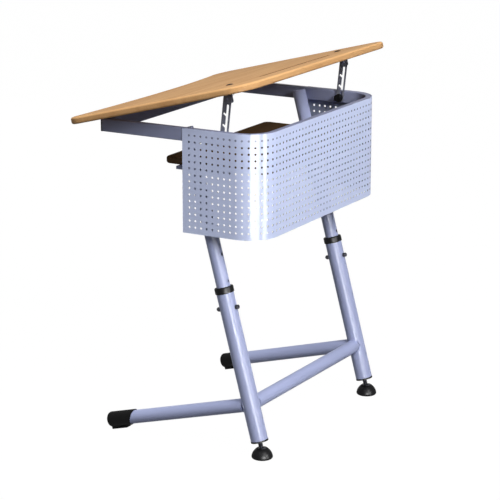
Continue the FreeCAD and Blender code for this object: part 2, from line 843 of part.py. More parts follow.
def desk_board():
    plate = board_blank()
    plate = plate.makeFillet(board_edge_round, rim_edges(plate, (0, board_thick)))
    centre_z = board_thick + groove_radius - groove_deep
    half = groove_length / 2
    y = board_y(groove_from_front)
    groove = rod(groove_radius, vec(-half, y, centre_z), vec(half, y, centre_z))
    for x in (-half, half):
        groove = groove.fuse(Part.makeSphere(groove_radius, vec(x, y, centre_z)))
    plate = plate.cut(groove)
    for side in SIDES.values():
        x = side * bracket_bolt_x()
        plate = plate.cut(rod(board_bolt_radius, vec(x, strut_pivot_reach, -overrun),
                              vec(x, strut_pivot_reach, board_thick + overrun)))
    plate.translate(vec(0, 0, hinge_drop))
    for side in SIDES.values():
        for place in hinge_screw_places(side):
            plate = plate.cut(hinge_screw_hole(place))
    return on_board(plate)


def strut_bracket(side):
    """Steel angle: a flange under the board and an ear that the strut hangs from."""
    top = hinge_drop
    flange = box(ear_outer_x - flange_wide, ear_outer_x, -ear_front, ear_rear, top - bracket_plate, top)
    ear = box(ear_inner_x, ear_outer_x, -ear_front, ear_rear, top - ear_drop, top)
    lower = [edge for edge in ear.Edges if edge.BoundBox.ZMax < top - ear_drop / 2
             and edge.BoundBox.XLength > bracket_plate / 2]
    angle = flange.fuse(ear.makeFillet(ear_corner, lower)).removeSplitter()
    pivot_z = hinge_drop - strut_pivot_drop
    angle = angle.cut(rod(rivet_radius, vec(ear_inner_x - overrun, 0, pivot_z),
                          vec(ear_outer_x + overrun, 0, pivot_z)))
    angle = angle.cut(rod(board_bolt_radius, vec(bracket_bolt_x(), 0, top - bracket_plate - overrun),
                          vec(bracket_bolt_x(), 0, top + overrun)))
    angle.translate(vec(0, strut_pivot_reach, 0))
    return on_board(angle if side > 0 else mirrored(angle))


def pivot_rivets():
    pivot_z = hinge_drop - strut_pivot_drop
    rivets = []
    for side in SIDES.values():
        head = placed(low_dome(rivet_head_radius, rivet_head_high), vec(ear_inner_x, 0, 0), -90, Y_AXIS)
        shank = rod(rivet_radius, vec(ear_inner_x, 0, 0), vec(strut_outer_x, 0, 0))
        rivet = head.fuse(shank)
        rivet.translate(vec(0, strut_pivot_reach, pivot_z))
        rivets.append(on_board(rivet if side > 0 else mirrored(rivet)))
    return Part.Compound(rivets)


def bracket_bolts():
    """Mushroom-head bolts through the board, which clamp the strut brackets."""
    bolts = []
    top = hinge_drop + board_thick
    low = hinge_drop - bracket_plate - board_nut_high
    for side in SIDES.values():
        head = placed(low_dome(board_bolt_head_radius, board_bolt_head_high), vec(0, 0, top), 0)
        bolt = head.fuse(rod(board_bolt_radius, vec(0, 0, low), vec(0, 0, top)))
        bolt.translate(vec(side * bracket_bolt_x(), strut_pivot_reach, 0))
        bolts.append(on_board(bolt))
    return Part.Compound(bolts)


def bracket_nuts():
    nuts = []
    for side in SIDES.values():
        nut = hexagon(board_nut_flats, board_nut_high)
        nut.translate(vec(0, 0, hinge_drop - bracket_plate - board_nut_high))
        nut = nut.cut(rod(board_bolt_radius, vec(0, 0, -2 * board_nut_high), vec(0, 0, 2 * board_nut_high)))
        nut.translate(vec(side * bracket_bolt_x(), strut_pivot_reach, 0))
        nuts.append(on_board(nut))
    return Part.Compound(nuts)


# Struts, clamp bolts and knobs

def slot_prism(radius, start, end):
    """A straight slot through the strut's plate, between two centres given as (y, down)."""
    a = vec(strut_inner_x - overrun, start[0], -start[1])
    b = vec(strut_inner_x - overrun, end[0], -end[1])
    run = b - a
    across = vec(0, -run.z, run.y).normalize() * radius
    face = outline_face([a + across, b + across, b - across, a - across])
    deep = X_AXIS * (strut_thick + 2 * overrun)
    prism = face.extrude(deep)
    for centre in (a, b):
        prism = prism.fuse(Part.makeCylinder(radius, deep.Length, centre, X_AXIS))
    return prism


def strut(side):
    """Flat bar with a long slot behind its middle line and notches that rise forward from it."""
    bar = box(strut_inner_x, strut_outer_x, -strut_width / 2, strut_width / 2,
              -bolt_down_slot - strut_below_bolt, strut_above_pivot)
    ends = [edge for edge in bar.Edges if edge.BoundBox.XLength > strut_thick / 2]
    bar = bar.makeFillet(strut_corner, ends)
    slot_top = flat_bolt_down_slot - slot_end_gap
    slot_low = bolt_down_slot + slot_end_gap
    opening = slot_prism(slot_width / 2, (slot_offset, slot_top), (slot_offset, slot_low))
    for k in range(notch_count):
        down = notch_first + k * notch_pitch
        tip = (slot_offset - notch_reach, down)
        root = (slot_offset, down + notch_drop)
        opening = opening.fuse(slot_prism(notch_width / 2, tip, root))
    bar = bar.cut(opening)
    bar = bar.cut(rod(rivet_radius + rivet_gap, vec(strut_inner_x - overrun, 0, 0),
                      vec(strut_outer_x + overrun, 0, 0)))
    return on_strut(bar if side > 0 else mirrored(bar))


def clamp_parts():
    """Clamp bolt, washer and knob, drawn along X from the rail inwards, round the X axis."""
    end_x = rail_inner_x - clamp_end_gap
    washer_outer = strut_inner_x - clamp_washer_gap
    washer_inner = washer_outer - clamp_washer_thick
    boss_inner = washer_inner - clamp_washer_gap - knob_boss_long
    knob_inner = boss_inner - knob_long
    bolt_inner = boss_inner - knob_bore_depth
    bolt = rod(clamp_radius, vec(bolt_inner, 0, 0), vec(end_x, 0, 0))
    washer = pipe(clamp_washer_radius, clamp_radius, vec(washer_inner, 0, 0), vec(washer_outer, 0, 0))
    c = knob_round
    body = turned([
        (0, 0), (knob_boss_radius, 0), (knob_boss_radius, knob_boss_long),
        (knob_radius - c, knob_boss_long),
        quarter((knob_radius - c, knob_boss_long + c), c, -90, 0),
        (knob_radius, knob_boss_long + knob_long - c),
        quarter((knob_radius - c, knob_boss_long + knob_long - c), c, 0, 90),
        (0, knob_boss_long + knob_long), (0, 0)])
    for k in range(knob_flutes):
        turn = 2 * math.pi * k / knob_flutes
        at = vec(knob_flute_offset * math.cos(turn), knob_flute_offset * math.sin(turn), knob_boss_long + c)
        body = body.cut(rod(knob_flute_radius, at, at + Z_AXIS * (knob_long + overrun)))
    knob = placed(body, vec(knob_inner + knob_long + knob_boss_long, 0, 0), -90, Y_AXIS)
    knob = knob.cut(rod(clamp_radius + knob_gap, vec(bolt_inner - knob_gap, 0, 0), vec(end_x, 0, 0)))
    return bolt, washer, knob


def on_clamp(shape, side):
    moved = placed(shape, vec(0, -clamp_set_back, clamp_z), 0)
    return moved if side > 0 else mirrored(moved)


def desk():
    """Every sub-part in its place, by name."""
    parts = {
        "rail_frame": rail_frame(),
        "front_rail": front_rail(),
        "cross_bar": cross_bar(),
        "lock_bolts": lock_bolts(),
        "lock_washers": lock_washers(),
        "dome_nuts": dome_nuts(),
        "book_shelf": book_shelf(),
        "shelf_screws": shelf_screws(),
        "hinge_pins": hinge_pins(),
        "hinge_screws": hinge_screws(),
        "desk_board": desk_board(),
        "pivot_rivets": pivot_rivets(),
        "bracket_bolts": bracket_bolts(),
        "bracket_nuts": bracket_nuts(),
    }
    parts.update(perforated_panel())
    bolt, washer, knob = clamp_parts()
    for name, side in SIDES.items():
        parts["leg_sleeve_" + name] = leg_sleeve(side)
        parts["collar_" + name] = collar(side)
        parts["base_tube_" + name] = base_tube(side)
        parts["foot_cap_" + name] = foot_cap(side)
        parts["sleeve_plug_" + name] = sleeve_plug(side)
        parts["foot_stem_" + name] = foot_stem(side)
        parts["foot_pad_" + name] = foot_pad(side)
        parts["inner_tube_" + name] = inner_tube(side)
        parts["tube_guide_" + name] = tube_guide(side)
        parts["rail_cap_" + name] = rail_cap(side)
        parts["shelf_bracket_" + name] = shelf_bracket(side)
        parts["hinge_fixed_leaf_" + name] = hinge_fixed_leaf(side)
        parts["hinge_moving_leaf_" + name] = hinge_moving_leaf(side)
        parts["strut_bracket_" + name] = strut_bracket(side)
        parts["strut_" + name] = strut(side)
        parts["clamp_bolt_" + name] = on_clamp(bolt, side)
        parts["clamp_washer_" + name] = on_clamp(washer, side)
        parts["knob_" + name] = on_clamp(knob, side)
    return parts


parts = desk()

# The origin goes under the middle of the desk's plan: from the board's front edge to the feet's rear
front_edge = parts["desk_board"].optimalBoundingBox(False).YMin
rear_edge = max(parts["foot_pad_right"].optimalBoundingBox(False).YMax, 0)
to_middle = vec(0, -(front_edge + rear_edge) / 2, 0)

os.makedirs("parts", exist_ok=True)
for name, shape in parts.items():
    shape.translate(to_middle)
    shape.exportStep(os.path.join("parts", name + ".step"))

print(len(parts), "sub-parts,", sum(len(shape.Solids) for shape in parts.values()), "solids")
print("origin moved by", round(to_middle.y, 3), "from the panel's rear face")
print("strut swing", round(math.degrees(strut_swing), 2), "deg, bolt travel", round(bolt_travel, 2), "mm")
for name, shape in parts.items():
    if not shape.isValid() or any(solid.Volume <= 0 for solid in shape.Solids):
        print("not a sound solid:", name)
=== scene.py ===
"""A tilting school desk: a beech board on notched struts, a bent frame with a perforated
skirt and a dark book shelf, and two leaning telescopic legs on a tube base.

Metres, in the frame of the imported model: +X is the user's right, +Y the rear, +Z up."""

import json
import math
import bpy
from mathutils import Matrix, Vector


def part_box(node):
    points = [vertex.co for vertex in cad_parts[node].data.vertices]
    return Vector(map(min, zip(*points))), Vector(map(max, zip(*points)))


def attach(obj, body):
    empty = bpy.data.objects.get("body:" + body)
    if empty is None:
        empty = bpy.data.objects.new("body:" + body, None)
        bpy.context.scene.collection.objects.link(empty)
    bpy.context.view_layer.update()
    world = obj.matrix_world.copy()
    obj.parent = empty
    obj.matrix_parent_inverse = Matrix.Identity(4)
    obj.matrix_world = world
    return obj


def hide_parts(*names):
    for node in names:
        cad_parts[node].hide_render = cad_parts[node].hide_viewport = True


bl_info = {
    "name": "Tilting School Desk",
    "version": (1, 0, 0),
    "blender": (4, 5, 0),
    "location": "View3D > Sidebar > Desk",
    "description": "Dresses the desk's frame with its board, skirt, tubes, feet and finishes",
    "category": "Add Mesh",
}

import bmesh
import bpy
from bpy.props import FloatProperty, FloatVectorProperty, IntProperty, PointerProperty
from bpy.types import Operator, Panel, PropertyGroup
from mathutils import Matrix, Vector

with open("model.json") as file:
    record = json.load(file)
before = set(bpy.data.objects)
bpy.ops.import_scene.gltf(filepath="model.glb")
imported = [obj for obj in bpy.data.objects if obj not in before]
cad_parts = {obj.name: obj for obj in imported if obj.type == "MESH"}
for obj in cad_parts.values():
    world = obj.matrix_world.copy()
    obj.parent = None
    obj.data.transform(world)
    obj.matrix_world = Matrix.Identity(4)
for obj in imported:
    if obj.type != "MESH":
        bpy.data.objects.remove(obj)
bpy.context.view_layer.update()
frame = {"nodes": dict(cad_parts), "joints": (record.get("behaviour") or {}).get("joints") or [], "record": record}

QUARTER = math.pi / 2
AS_DRAWN = Matrix.Identity(4)
ROUND_STEPS = 64
# Faces with more corners than this, and edges with a larger angle, aren't smoothed
SMOOTH_CORNERS = 8
SHARP_ANGLE = math.radians(35.0)
SIDES = {"left": -1, "right": 1}
JOINTS = {joint["name"]: joint for joint in frame["joints"]}

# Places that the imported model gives
HINGE_AXIS = Vector(JOINTS["board_tilt"]["pos_m"])
TILT = math.radians(-JOINTS["board_tilt"]["range_deg"][0])
LEG_UP = Vector(JOINTS["height_adjust"]["axis"])
LEAN = math.asin(-LEG_UP.y)
FOOT_BALL = Vector(JOINTS["pad_swivel_right"]["pos_m"])
LEG_FLOOR = FOOT_BALL - LEG_UP * (FOOT_BALL.z / LEG_UP.z)


class Box:
    """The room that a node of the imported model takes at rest."""

    def __init__(self, node):
        self.low, self.high = (Vector(corner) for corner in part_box(node))
        self.size = self.high - self.low
        self.middle = (self.high + self.low) / 2


def leg_span(node):
    """Radius of a leg's tube, and how far up the leg its ends are."""
    room = Box(node)
    radius = room.size.x / 2
    tip = radius * math.sin(LEAN)
    return radius, (room.low.z + tip) / math.cos(LEAN), (room.high.z - tip) / math.cos(LEAN)


def on_leg(side):
    """From a leg drawn on Z, standing on the floor, to its place."""
    return Matrix.Translation((side * LEG_FLOOR.x, LEG_FLOOR.y, 0)) @ Matrix.Rotation(LEAN, 4, "X")


def on_base(side):
    """From a base tube drawn on Z, starting in the leg's axis, to its place."""
    joint = Box("cross_bar").middle
    place = Matrix.Translation((side * LEG_FLOOR.x, joint.y, joint.z))
    return place @ Matrix.Rotation(QUARTER + LEAN, 4, "X")


def base_tube_end(name):
    """How far from the leg's axis a base tube's front end is, along the tube."""
    bar = Box("cross_bar")
    reach = bar.middle.y - Box("base_tube_" + name).low.y
    return (reach - bar.size.z / 2 * math.sin(LEAN)) / math.cos(LEAN)


def on_board():
    """From a board drawn flat, with the hinge axis on X, to its tilted place."""
    return Matrix.Translation(HINGE_AXIS) @ Matrix.Rotation(TILT, 4, "X")


class BoardSizes(PropertyGroup):
    depth: FloatProperty(
        name="Depth", description="From the board's front edge to its rear edge", default=0.51, unit="LENGTH")
    thickness: FloatProperty(
        name="Thickness", description="Thickness of the board", default=0.016, unit="LENGTH")
    front_corner: FloatProperty(
        name="Front corners", description="Radius of the front corners in plan", default=0.04, unit="LENGTH")
    rear_corner: FloatProperty(
        name="Rear corners", description="Radius of the rear corners in plan", default=0.06, unit="LENGTH")
    hollow: FloatProperty(
        name="Hollow", description="Depth of the curve in the front edge", default=0.063, unit="LENGTH")
    edge: FloatProperty(
        name="Edge rounding", description="Radius along the upper and lower edges", default=0.005,
        unit="LENGTH")
    overhang: FloatProperty(
        name="Front overhang", description="From the hinge axis to the board's front edge", default=0.078,
        unit="LENGTH")
    rise: FloatProperty(
        name="Rise over hinge", description="From the hinge axis up to the board's underside", default=0.0039,
        unit="LENGTH")
    groove_length: FloatProperty(
        name="Pencil groove", description="Length of the groove between its end centres", default=0.316,
        unit="LENGTH")
    groove_radius: FloatProperty(
        name="Groove radius", description="Radius of the groove's round bottom", default=0.006, unit="LENGTH")
    groove_depth: FloatProperty(
        name="Groove depth", description="Depth of the groove", default=0.0045, unit="LENGTH")
    groove_place: FloatProperty(
        name="Groove place", description="From the board's front edge to the groove", default=0.4355,
        unit="LENGTH")
    bolt_place: FloatProperty(
        name="Bolt place", description="From the hinge axis to the bracket bolts", default=0.332,
        unit="LENGTH")
    bolt_head: FloatProperty(
        name="Bolt head", description="Radius of a bracket bolt's head", default=0.009, unit="LENGTH")
    bolt_head_high: FloatProperty(
        name="Bolt head height", description="Height of a bracket bolt's head", default=0.0026, unit="LENGTH")


class SkirtSizes(PropertyGroup):
    hole: FloatProperty(
        name="Hole", description="Diameter of each round hole", default=0.005, unit="LENGTH")
    pitch: FloatProperty(
        name="Pitch", description="Distance between hole centres", default=0.015, unit="LENGTH")
    rows: IntProperty(
        name="Rows", description="Rows of holes, from the top down", default=15, min=1)
    columns: IntProperty(
        name="Columns", description="Holes in one row round the whole skirt", default=61, min=1)
    top_margin: FloatProperty(
        name="Top margin", description="From the top edge to the first row", default=0.015, unit="LENGTH")
    sheet: FloatProperty(
        name="Sheet", description="Thickness of the steel sheet", default=0.001, unit="LENGTH")
    bend: FloatProperty(
        name="Bend", description="Outer radius of the two rear corners", default=0.07, unit="LENGTH")


class FrameSizes(PropertyGroup):
    tube_corner: FloatProperty(
        name="Tube corner", description="Rounding along a rectangular tube's edges", default=0.0025,
        unit="LENGTH")
    wall: FloatProperty(
        name="Tube wall", description="Wall of the round tubes", default=0.002, unit="LENGTH")
    bead: FloatProperty(
        name="Weld bead", description="Radius of a weld bead", default=0.0016, unit="LENGTH")
    adjust_hole: FloatProperty(
        name="Adjusting hole", description="Radius of the holes for the lock bolts", default=0.0035,
        unit="LENGTH")
    adjust_step: FloatProperty(
        name="Height step", description="Distance between the adjusting holes", default=0.062, unit="LENGTH")
    lock_below_top: FloatProperty(
        name="Lock bolt place", description="From the sleeve's top down to the lock bolt", default=0.043,
        unit="LENGTH")
    shelf_corner: FloatProperty(
        name="Shelf corner", description="Radius of the shelf's corners in plan", default=0.016,
        unit="LENGTH")
    shelf_edge: FloatProperty(
        name="Shelf edge", description="Rounding along the shelf's edges", default=0.005, unit="LENGTH")
    stem: FloatProperty(
        name="Stem radius", description="Radius of the levelling foot's threaded stem", default=0.0055,
        unit="LENGTH")
    thread: FloatProperty(
        name="Thread pitch", description="Distance between the stem's threads", default=0.0015, unit="LENGTH")


class FittingSizes(PropertyGroup):
    collar_edge: FloatProperty(
        name="Collar edge", description="Rounding of a collar's upper rim", default=0.0025, unit="LENGTH")
    collar_high: FloatProperty(
        name="Collar height", description="Height of a collar's band", default=0.015, unit="LENGTH")
    collar_skirt: FloatProperty(
        name="Collar skirt", description="How far a collar reaches down into the sleeve", default=0.024,
        unit="LENGTH")
    slide_gap: FloatProperty(
        name="Slide gap", description="Room between a collar and the tube in it", default=0.0003,
        unit="LENGTH")
    pad_rim: FloatProperty(
        name="Pad rim", description="Height of a foot pad's widest ring", default=0.0045, unit="LENGTH")
    pad_sole: FloatProperty(
        name="Pad sole", description="Radius of a foot pad where it stands", default=0.0215, unit="LENGTH")
    pad_shoulder: FloatProperty(
        name="Pad shoulder", description="Radius of a foot pad's dome at its shoulder", default=0.0196,
        unit="LENGTH")
    pad_shoulder_rise: FloatProperty(
        name="Shoulder height", description="Height of a foot pad's shoulder", default=0.017, unit="LENGTH")
    pad_neck: FloatProperty(
        name="Pad neck", description="Radius of a foot pad's top", default=0.0114, unit="LENGTH")
    pad_mouth: FloatProperty(
        name="Pad mouth", description="Radius of the hole in a foot pad's top", default=0.0104, unit="LENGTH")
    ball_gap: FloatProperty(
        name="Ball gap", description="Room round the stem's ball in a foot pad", default=0.0001,
        unit="LENGTH")
    cap_end: FloatProperty(
        name="Cap end", description="Rounding of a foot cap's closed end", default=0.007, unit="LENGTH")
    cap_below: FloatProperty(
        name="Cap underside", description="Length of a foot cap below the tube", default=0.0597,
        unit="LENGTH")
    cap_above: FloatProperty(
        name="Cap top", description="Length of a foot cap above the tube", default=0.0758, unit="LENGTH")
    cap_wall: FloatProperty(
        name="Cap wall", description="From the base tube's end to the cap's", default=0.0102, unit="LENGTH")
    skid_long: FloatProperty(
        name="Skid length", description="Length of the skid's flat sole", default=0.0429, unit="LENGTH")
    skid_wide: FloatProperty(
        name="Skid width", description="Width of the skid", default=0.016, unit="LENGTH")
    skid_ramp: FloatProperty(
        name="Skid ramp", description="Length and rise of the skid's ramp", default=0.009, unit="LENGTH")
    skid_from_tip: FloatProperty(
        name="Skid set back", description="From the cap's end to the skid's", default=0.005, unit="LENGTH")


class DeskColours(PropertyGroup):
    lavender: FloatVectorProperty(
        name="Lavender paint", description="Paint of the skirt", subtype="COLOR", size=3,
        default=(0.639, 0.711, 0.993), min=0, max=1)
    lilac: FloatVectorProperty(
        name="Lilac paint", description="Paint of the legs and the base", subtype="COLOR", size=3,
        default=(0.45, 0.50, 0.76), min=0, max=1)
    slate: FloatVectorProperty(
        name="Slate paint", description="Paint of the rails, the hinges and the shelf brackets",
        subtype="COLOR", size=3, default=(0.30, 0.325, 0.49), min=0, max=1)
    graphite: FloatVectorProperty(
        name="Graphite paint", description="Paint of the struts and their brackets", subtype="COLOR", size=3,
        default=(0.20, 0.21, 0.265), min=0, max=1)
    beech_light: FloatVectorProperty(
        name="Light beech", description="Pale streaks of the board", subtype="COLOR", size=3,
        default=(0.74, 0.44, 0.200), min=0, max=1)
    beech_dark: FloatVectorProperty(
        name="Dark beech", description="Dark streaks of the board", subtype="COLOR", size=3,
        default=(0.56, 0.29, 0.115), min=0, max=1)
    shelf_light: FloatVectorProperty(
        name="Light walnut", description="Pale streaks of the shelf", subtype="COLOR", size=3,
        default=(0.170, 0.105, 0.055), min=0, max=1)
    shelf_dark: FloatVectorProperty(
        name="Dark walnut", description="Dark streaks of the shelf", subtype="COLOR", size=3,
        default=(0.095, 0.055, 0.030), min=0, max=1)
    black: FloatVectorProperty(
        name="Black plastic", description="Collars, plugs, knobs, feet and the board's bolt heads",
        subtype="COLOR", size=3, default=(0.006, 0.006, 0.007), min=0, max=1)
    rubber: FloatVectorProperty(
        name="Black rubber", description="Front foot caps", subtype="COLOR", size=3,
        default=(0.005, 0.005, 0.005), min=0, max=1)
    blackened: FloatVectorProperty(
        name="Blackened steel", description="Levelling stems and lock bolts", subtype="COLOR", size=3,
        default=(0.048, 0.048, 0.056), min=0, max=1)
    zinc: FloatVectorProperty(
        name="Zinc", description="Hinge pins, clamp bolts, washers, nuts and screws", subtype="COLOR", size=3,
        default=(0.50, 0.51, 0.54), min=0, max=1)
    floor: FloatVectorProperty(
        name="Floor", description="Floor that the desk stands on", subtype="COLOR", size=3,
        default=(0.16, 0.16, 0.16), min=0, max=1)


# Finishes

class Value:
    """A number or colour that a shader works out, joined by Python's operators."""

    def __init__(self, nodes, socket):
        self.nodes = nodes
        self.socket = socket

    def joined(self, operation, first, second):
        return self.nodes.node("Math", {"operation": operation}, {0: first, 1: second})

    def __add__(self, other):
        return self.joined("ADD", self, other)

    def __sub__(self, other):
        return self.joined("SUBTRACT", self, other)

    def __rsub__(self, other):
        return self.joined("SUBTRACT", other, self)

    def __mul__(self, other):
        return self.joined("MULTIPLY", self, other)

    __radd__ = __add__
    __rmul__ = __mul__


class NodeTree:
    """The nodes of a material or of the world, with one method that adds a node."""

    def __init__(self, owner, kind):
        owner.use_nodes = True
        self.tree = owner.node_tree
        self.tree.nodes.clear()
        self.output = self.tree.nodes.new("ShaderNodeOutput" + kind)

    def feed(self, socket, value):
        if isinstance(value, Value):
            self.tree.links.new(value.socket, socket)
        else:
            socket.default_value = value

    def node(self, kind, settings, inputs, output=0):
        node = self.tree.nodes.new("ShaderNode" + kind)
        for name, setting in settings.items():
            if name == "stops":
                self.place_stops(node.color_ramp, setting)
            else:
                setattr(node, name, setting)
        for name, value in inputs.items():
            self.feed(node.inputs[name], value)
        return Value(self, node.outputs[output])

    def place_stops(self, ramp, stops):
        while len(ramp.elements) < len(stops):
            ramp.elements.new(1)
        for element, (place, shade) in zip(ramp.elements, stops):
            element.position = place
            element.color = (shade, shade, shade, 1)

    def seen(self):
        """1 for what the camera, gloss and glass show, and 0 for light that falls on the desk."""
        camera, glossy, through = (self.node("LightPath", {}, {}, "Is " + ray + " Ray")
                                   for ray in ("Camera", "Glossy", "Transmission"))
        return camera + glossy + through


class Shader(NodeTree):
    """A finish's nodes, which end in one surface."""

    def __init__(self, name):
        self.material = bpy.data.materials.new(name)
        super().__init__(self.material, "Material")
        self.surface = self.tree.nodes.new("ShaderNodeBsdfPrincipled")
        self.tree.links.new(self.surface.outputs[0], self.output.inputs[0])

    def place(self, scale=(1, 1, 1), turn=0.0):
        """Object coordinates, turned about X and then stretched."""
        flat = self.node("Mapping", {"vector_type": "TEXTURE"},
                         {"Vector": self.node("TexCoord", {}, {}, "Object"), "Rotation": (turn, 0, 0)})
        return self.node("Mapping", {}, {"Vector": flat, "Scale": scale})

    def noise(self, place, scale, detail=3.0, roughness=0.5, distortion=0.0):
        return self.node("TexNoise", {}, {"Vector": place, "Scale": scale, "Detail": detail,
                                          "Roughness": roughness, "Distortion": distortion})

    def ramp(self, value, *stops):
        return self.node("ValToRGB", {"stops": stops}, {"Fac": value})

    def marked(self, name):
        """The share that a piece's own mesh gives each face."""
        return self.node("Attribute", {"attribute_name": name}, {}, "Fac")

    def mix(self, share, first, second):
        """A blend of two colours, where the share is that of the second."""
        return self.node("Mix", {"data_type": "RGBA"}, {0: share, 6: first, 7: second}, 2)

    def bump(self, height, strength, distance):
        return self.node("Bump", {}, {"Height": height, "Strength": strength, "Distance": distance})

    def set(self, **sockets):
        for name, value in sockets.items():
            self.feed(self.surface.inputs[name.replace("_", " ").title().replace("Ior", "IOR")], value)


def rgba(colour, shade=1.0):
    return tuple(min(part * shade, 1) for part in colour) + (1,)


def powder_paint(name, colour, gloss, skin):
    """Smooth powder coating: orange peel, drifts of shade, a clear skin, and painted shade where the mesh marks
    it.
    """
    shader = Shader(name)
    place = shader.place()
    drift = shader.noise(place, 5.0, detail=2.0)
    peel = shader.noise(place, 620.0, detail=2.0)
    grime = shader.ramp(shader.noise(place, 38.0, detail=5.0, roughness=0.65), (0.55, 0), (0.80, 1))
    paint = shader.mix(drift, rgba(colour, 0.95), rgba(colour, 1.05))
    # Painted shade: the marked hole walls and the skirt's inner side are darkened, as where shade falls
    paint = shader.mix(shader.marked("thin_paint"), paint, rgba(colour, 0.12))
    shader.set(base_color=shader.mix(grime * 0.10, paint, rgba(colour, 0.80)), metallic=0.0,
               roughness=gloss + drift * 0.06 + grime * 0.08, specular_ior_level=0.03,
               coat_weight=skin, coat_roughness=0.13, normal=shader.bump(peel, 0.02, 0.0003))


def wood(name, light, dark, turn, gloss, lacquer):
    """Straight-grained veneer along X under lacquer: broad bands, fine streaks, short pores, a painted highlight
    and painted shade.
    """
    shader = Shader(name)
    broad, fine, short = (shader.place(scale, turn) for scale in ((1, 9, 9), (1.4, 90, 90), (9, 170, 170)))
    bands = shader.noise(broad, 3.2, detail=4.0, roughness=0.55, distortion=0.8)
    streaks = shader.noise(fine, 4.0, detail=5.0, roughness=0.6, distortion=0.3)
    pores = shader.noise(short, 9.0, detail=2.0)
    pits = shader.ramp(pores, (0.62, 0), (0.70, 1))
    tone = shader.ramp(bands * 0.55 + streaks * 0.45, (0.30, 0), (0.70, 1))
    body = shader.mix(tone, rgba(dark), rgba(light))
    # Painted highlight on the marked upper rounding of the board's edge
    body = shader.mix(shader.marked("rubbed") * 0.42, body, rgba(light, 1.3))
    # Painted shade in the marked pencil groove
    body = shader.mix(shader.marked("soiled") * 0.90, body, rgba(dark, 0.25))
    shader.set(base_color=shader.mix(pits * 0.35, body, rgba(dark, 0.72)),
               roughness=gloss + streaks * 0.12 + pits * 0.10, specular_ior_level=0.0,
               coat_weight=lacquer, coat_roughness=0.22,
               normal=shader.bump(streaks - pits * 0.6, 0.12, 0.0003))


def moulded(name, colour, gloss, grain, grain_depth, sheen):
    """Injection-moulded plastic or rubber with a fine spark-eroded grain."""
    shader = Shader(name)
    place = shader.place()
    texture = shader.noise(place, grain, roughness=0.6)
    wear = shader.ramp(shader.noise(place, 60.0, detail=4.0, roughness=0.6), (0.5, 0), (0.85, 1))
    shader.set(base_color=shader.mix(wear * 0.5, rgba(colour), rgba(colour, 2.2)),
               roughness=gloss + wear * 0.18 + texture * 0.06, specular_ior_level=0.0, coat_weight=sheen,
               coat_roughness=gloss, normal=shader.bump(texture, grain_depth, 0.0005))


def plated(name, colour, gloss):
    """Zinc-plated or blackened steel: drawn streaks, cloudy patches and a dull bloom."""
    shader = Shader(name)
    clouds = shader.noise(shader.place(), 160.0, detail=4.0, roughness=0.6)
    lines = shader.noise(shader.place((60.0, 60.0, 1500.0)), 1.0, detail=2.0)
    shader.set(base_color=shader.mix(clouds, rgba(colour, 0.75), rgba(colour, 1.15)), metallic=1.0,
               roughness=gloss + clouds * 0.20, normal=shader.bump(lines, 0.10, 0.0002))


def finishes():
    """The desk's finishes by name, made once."""
    if "desk_lavender" not in bpy.data.materials:
        colours = bpy.context.scene.desk_colours
        powder_paint("desk_lavender", colours.lavender, gloss=0.32, skin=0.15)
        powder_paint("desk_lilac", colours.lilac, gloss=0.42, skin=0.12)
        powder_paint("desk_slate", colours.slate, gloss=0.40, skin=0.08)
        powder_paint("desk_graphite", colours.graphite, gloss=0.38, skin=0.08)
        wood("desk_beech", colours.beech_light, colours.beech_dark, turn=TILT, gloss=0.40, lacquer=0.10)
        wood("desk_walnut", colours.shelf_light, colours.shelf_dark, turn=0.0, gloss=0.55, lacquer=0.0)
        moulded("desk_black", colours.black, gloss=0.36, grain=900.0, grain_depth=0.02, sheen=0.20)
        moulded("desk_rubber", colours.rubber, gloss=0.50, grain=700.0, grain_depth=0.08, sheen=0.15)
        plated("desk_zinc", colours.zinc, gloss=0.24)
        plated("desk_blackened", colours.blackened, gloss=0.30)
    return bpy.data.materials


# Shaping

def as_object(name, shape, place):
    """Makes an object of a bmesh, at its place, with its faces turned outwards."""
    bmesh.ops.transform(shape, matrix=place, verts=shape.verts)
    bmesh.ops.recalc_face_normals(shape, faces=shape.faces)
    mesh = bpy.data.meshes.new(name)
    shape.to_mesh(mesh)
    shape.free()
    made = bpy.data.objects.new(name, mesh)
    bpy.context.scene.collection.objects.link(made)
    return made


def place_piece(name, shape, place, finish, body):
    """Makes a piece of a bmesh, at its place, in its finish, and lets it ride on a body."""
    piece = as_object(name, shape, place)
    for face in piece.data.polygons:
        face.use_smooth = len(face.vertices) <= SMOOTH_CORNERS
    piece.data.set_sharp_from_angle(angle=SHARP_ANGLE)
    piece.data.materials.append(finishes()[finish])
    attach(piece, body)
    return piece


def cut_away(piece, cutters):
    """Takes the cutters' room out of a piece, and removes them."""
    for cutter in cutters:
        cut = piece.modifiers.new("Cut", "BOOLEAN")
        cut.solver = "EXACT"
        cut.object = cutter
    result = bpy.data.meshes.new_from_object(piece.evaluated_get(bpy.context.evaluated_depsgraph_get()))
    piece.modifiers.clear()
    old = piece.data
    piece.data = result
    result.name = piece.name
    bpy.data.meshes.remove(old)
    result.set_sharp_from_angle(angle=SHARP_ANGLE)
    for cutter in cutters:
        bpy.data.meshes.remove(cutter.data)


def mark_painted_shade(mesh, largest, front=None, inner_side_shade=0.0):
    """Marks painted shade: full in holes, found by their small faces, and a share of it on a skirt's inner side.
    """
    shade_marks = mesh.attributes.new("thin_paint", "FLOAT", "FACE").data
    for face in mesh.polygons:
        if face.area < largest:
            shade_marks[face.index].value = 1.0
        elif front is not None and face.normal.xy.dot(face.center.xy - Vector((0, front))) < 0:
            shade_marks[face.index].value = inner_side_shade


def level_edges(shape, heights, slack=1e-5):
    """Edges that lie wholly at one of the given heights."""
    return [edge for edge in shape.edges
            if any(all(abs(vert.co.z - height) < slack for vert in edge.verts) for height in heights)]


def round_off(shape, parts, radius, steps, affect="EDGES"):
    bmesh.ops.bevel(shape, geom=parts, offset=radius, segments=steps, profile=0.5, affect=affect, material=-1)


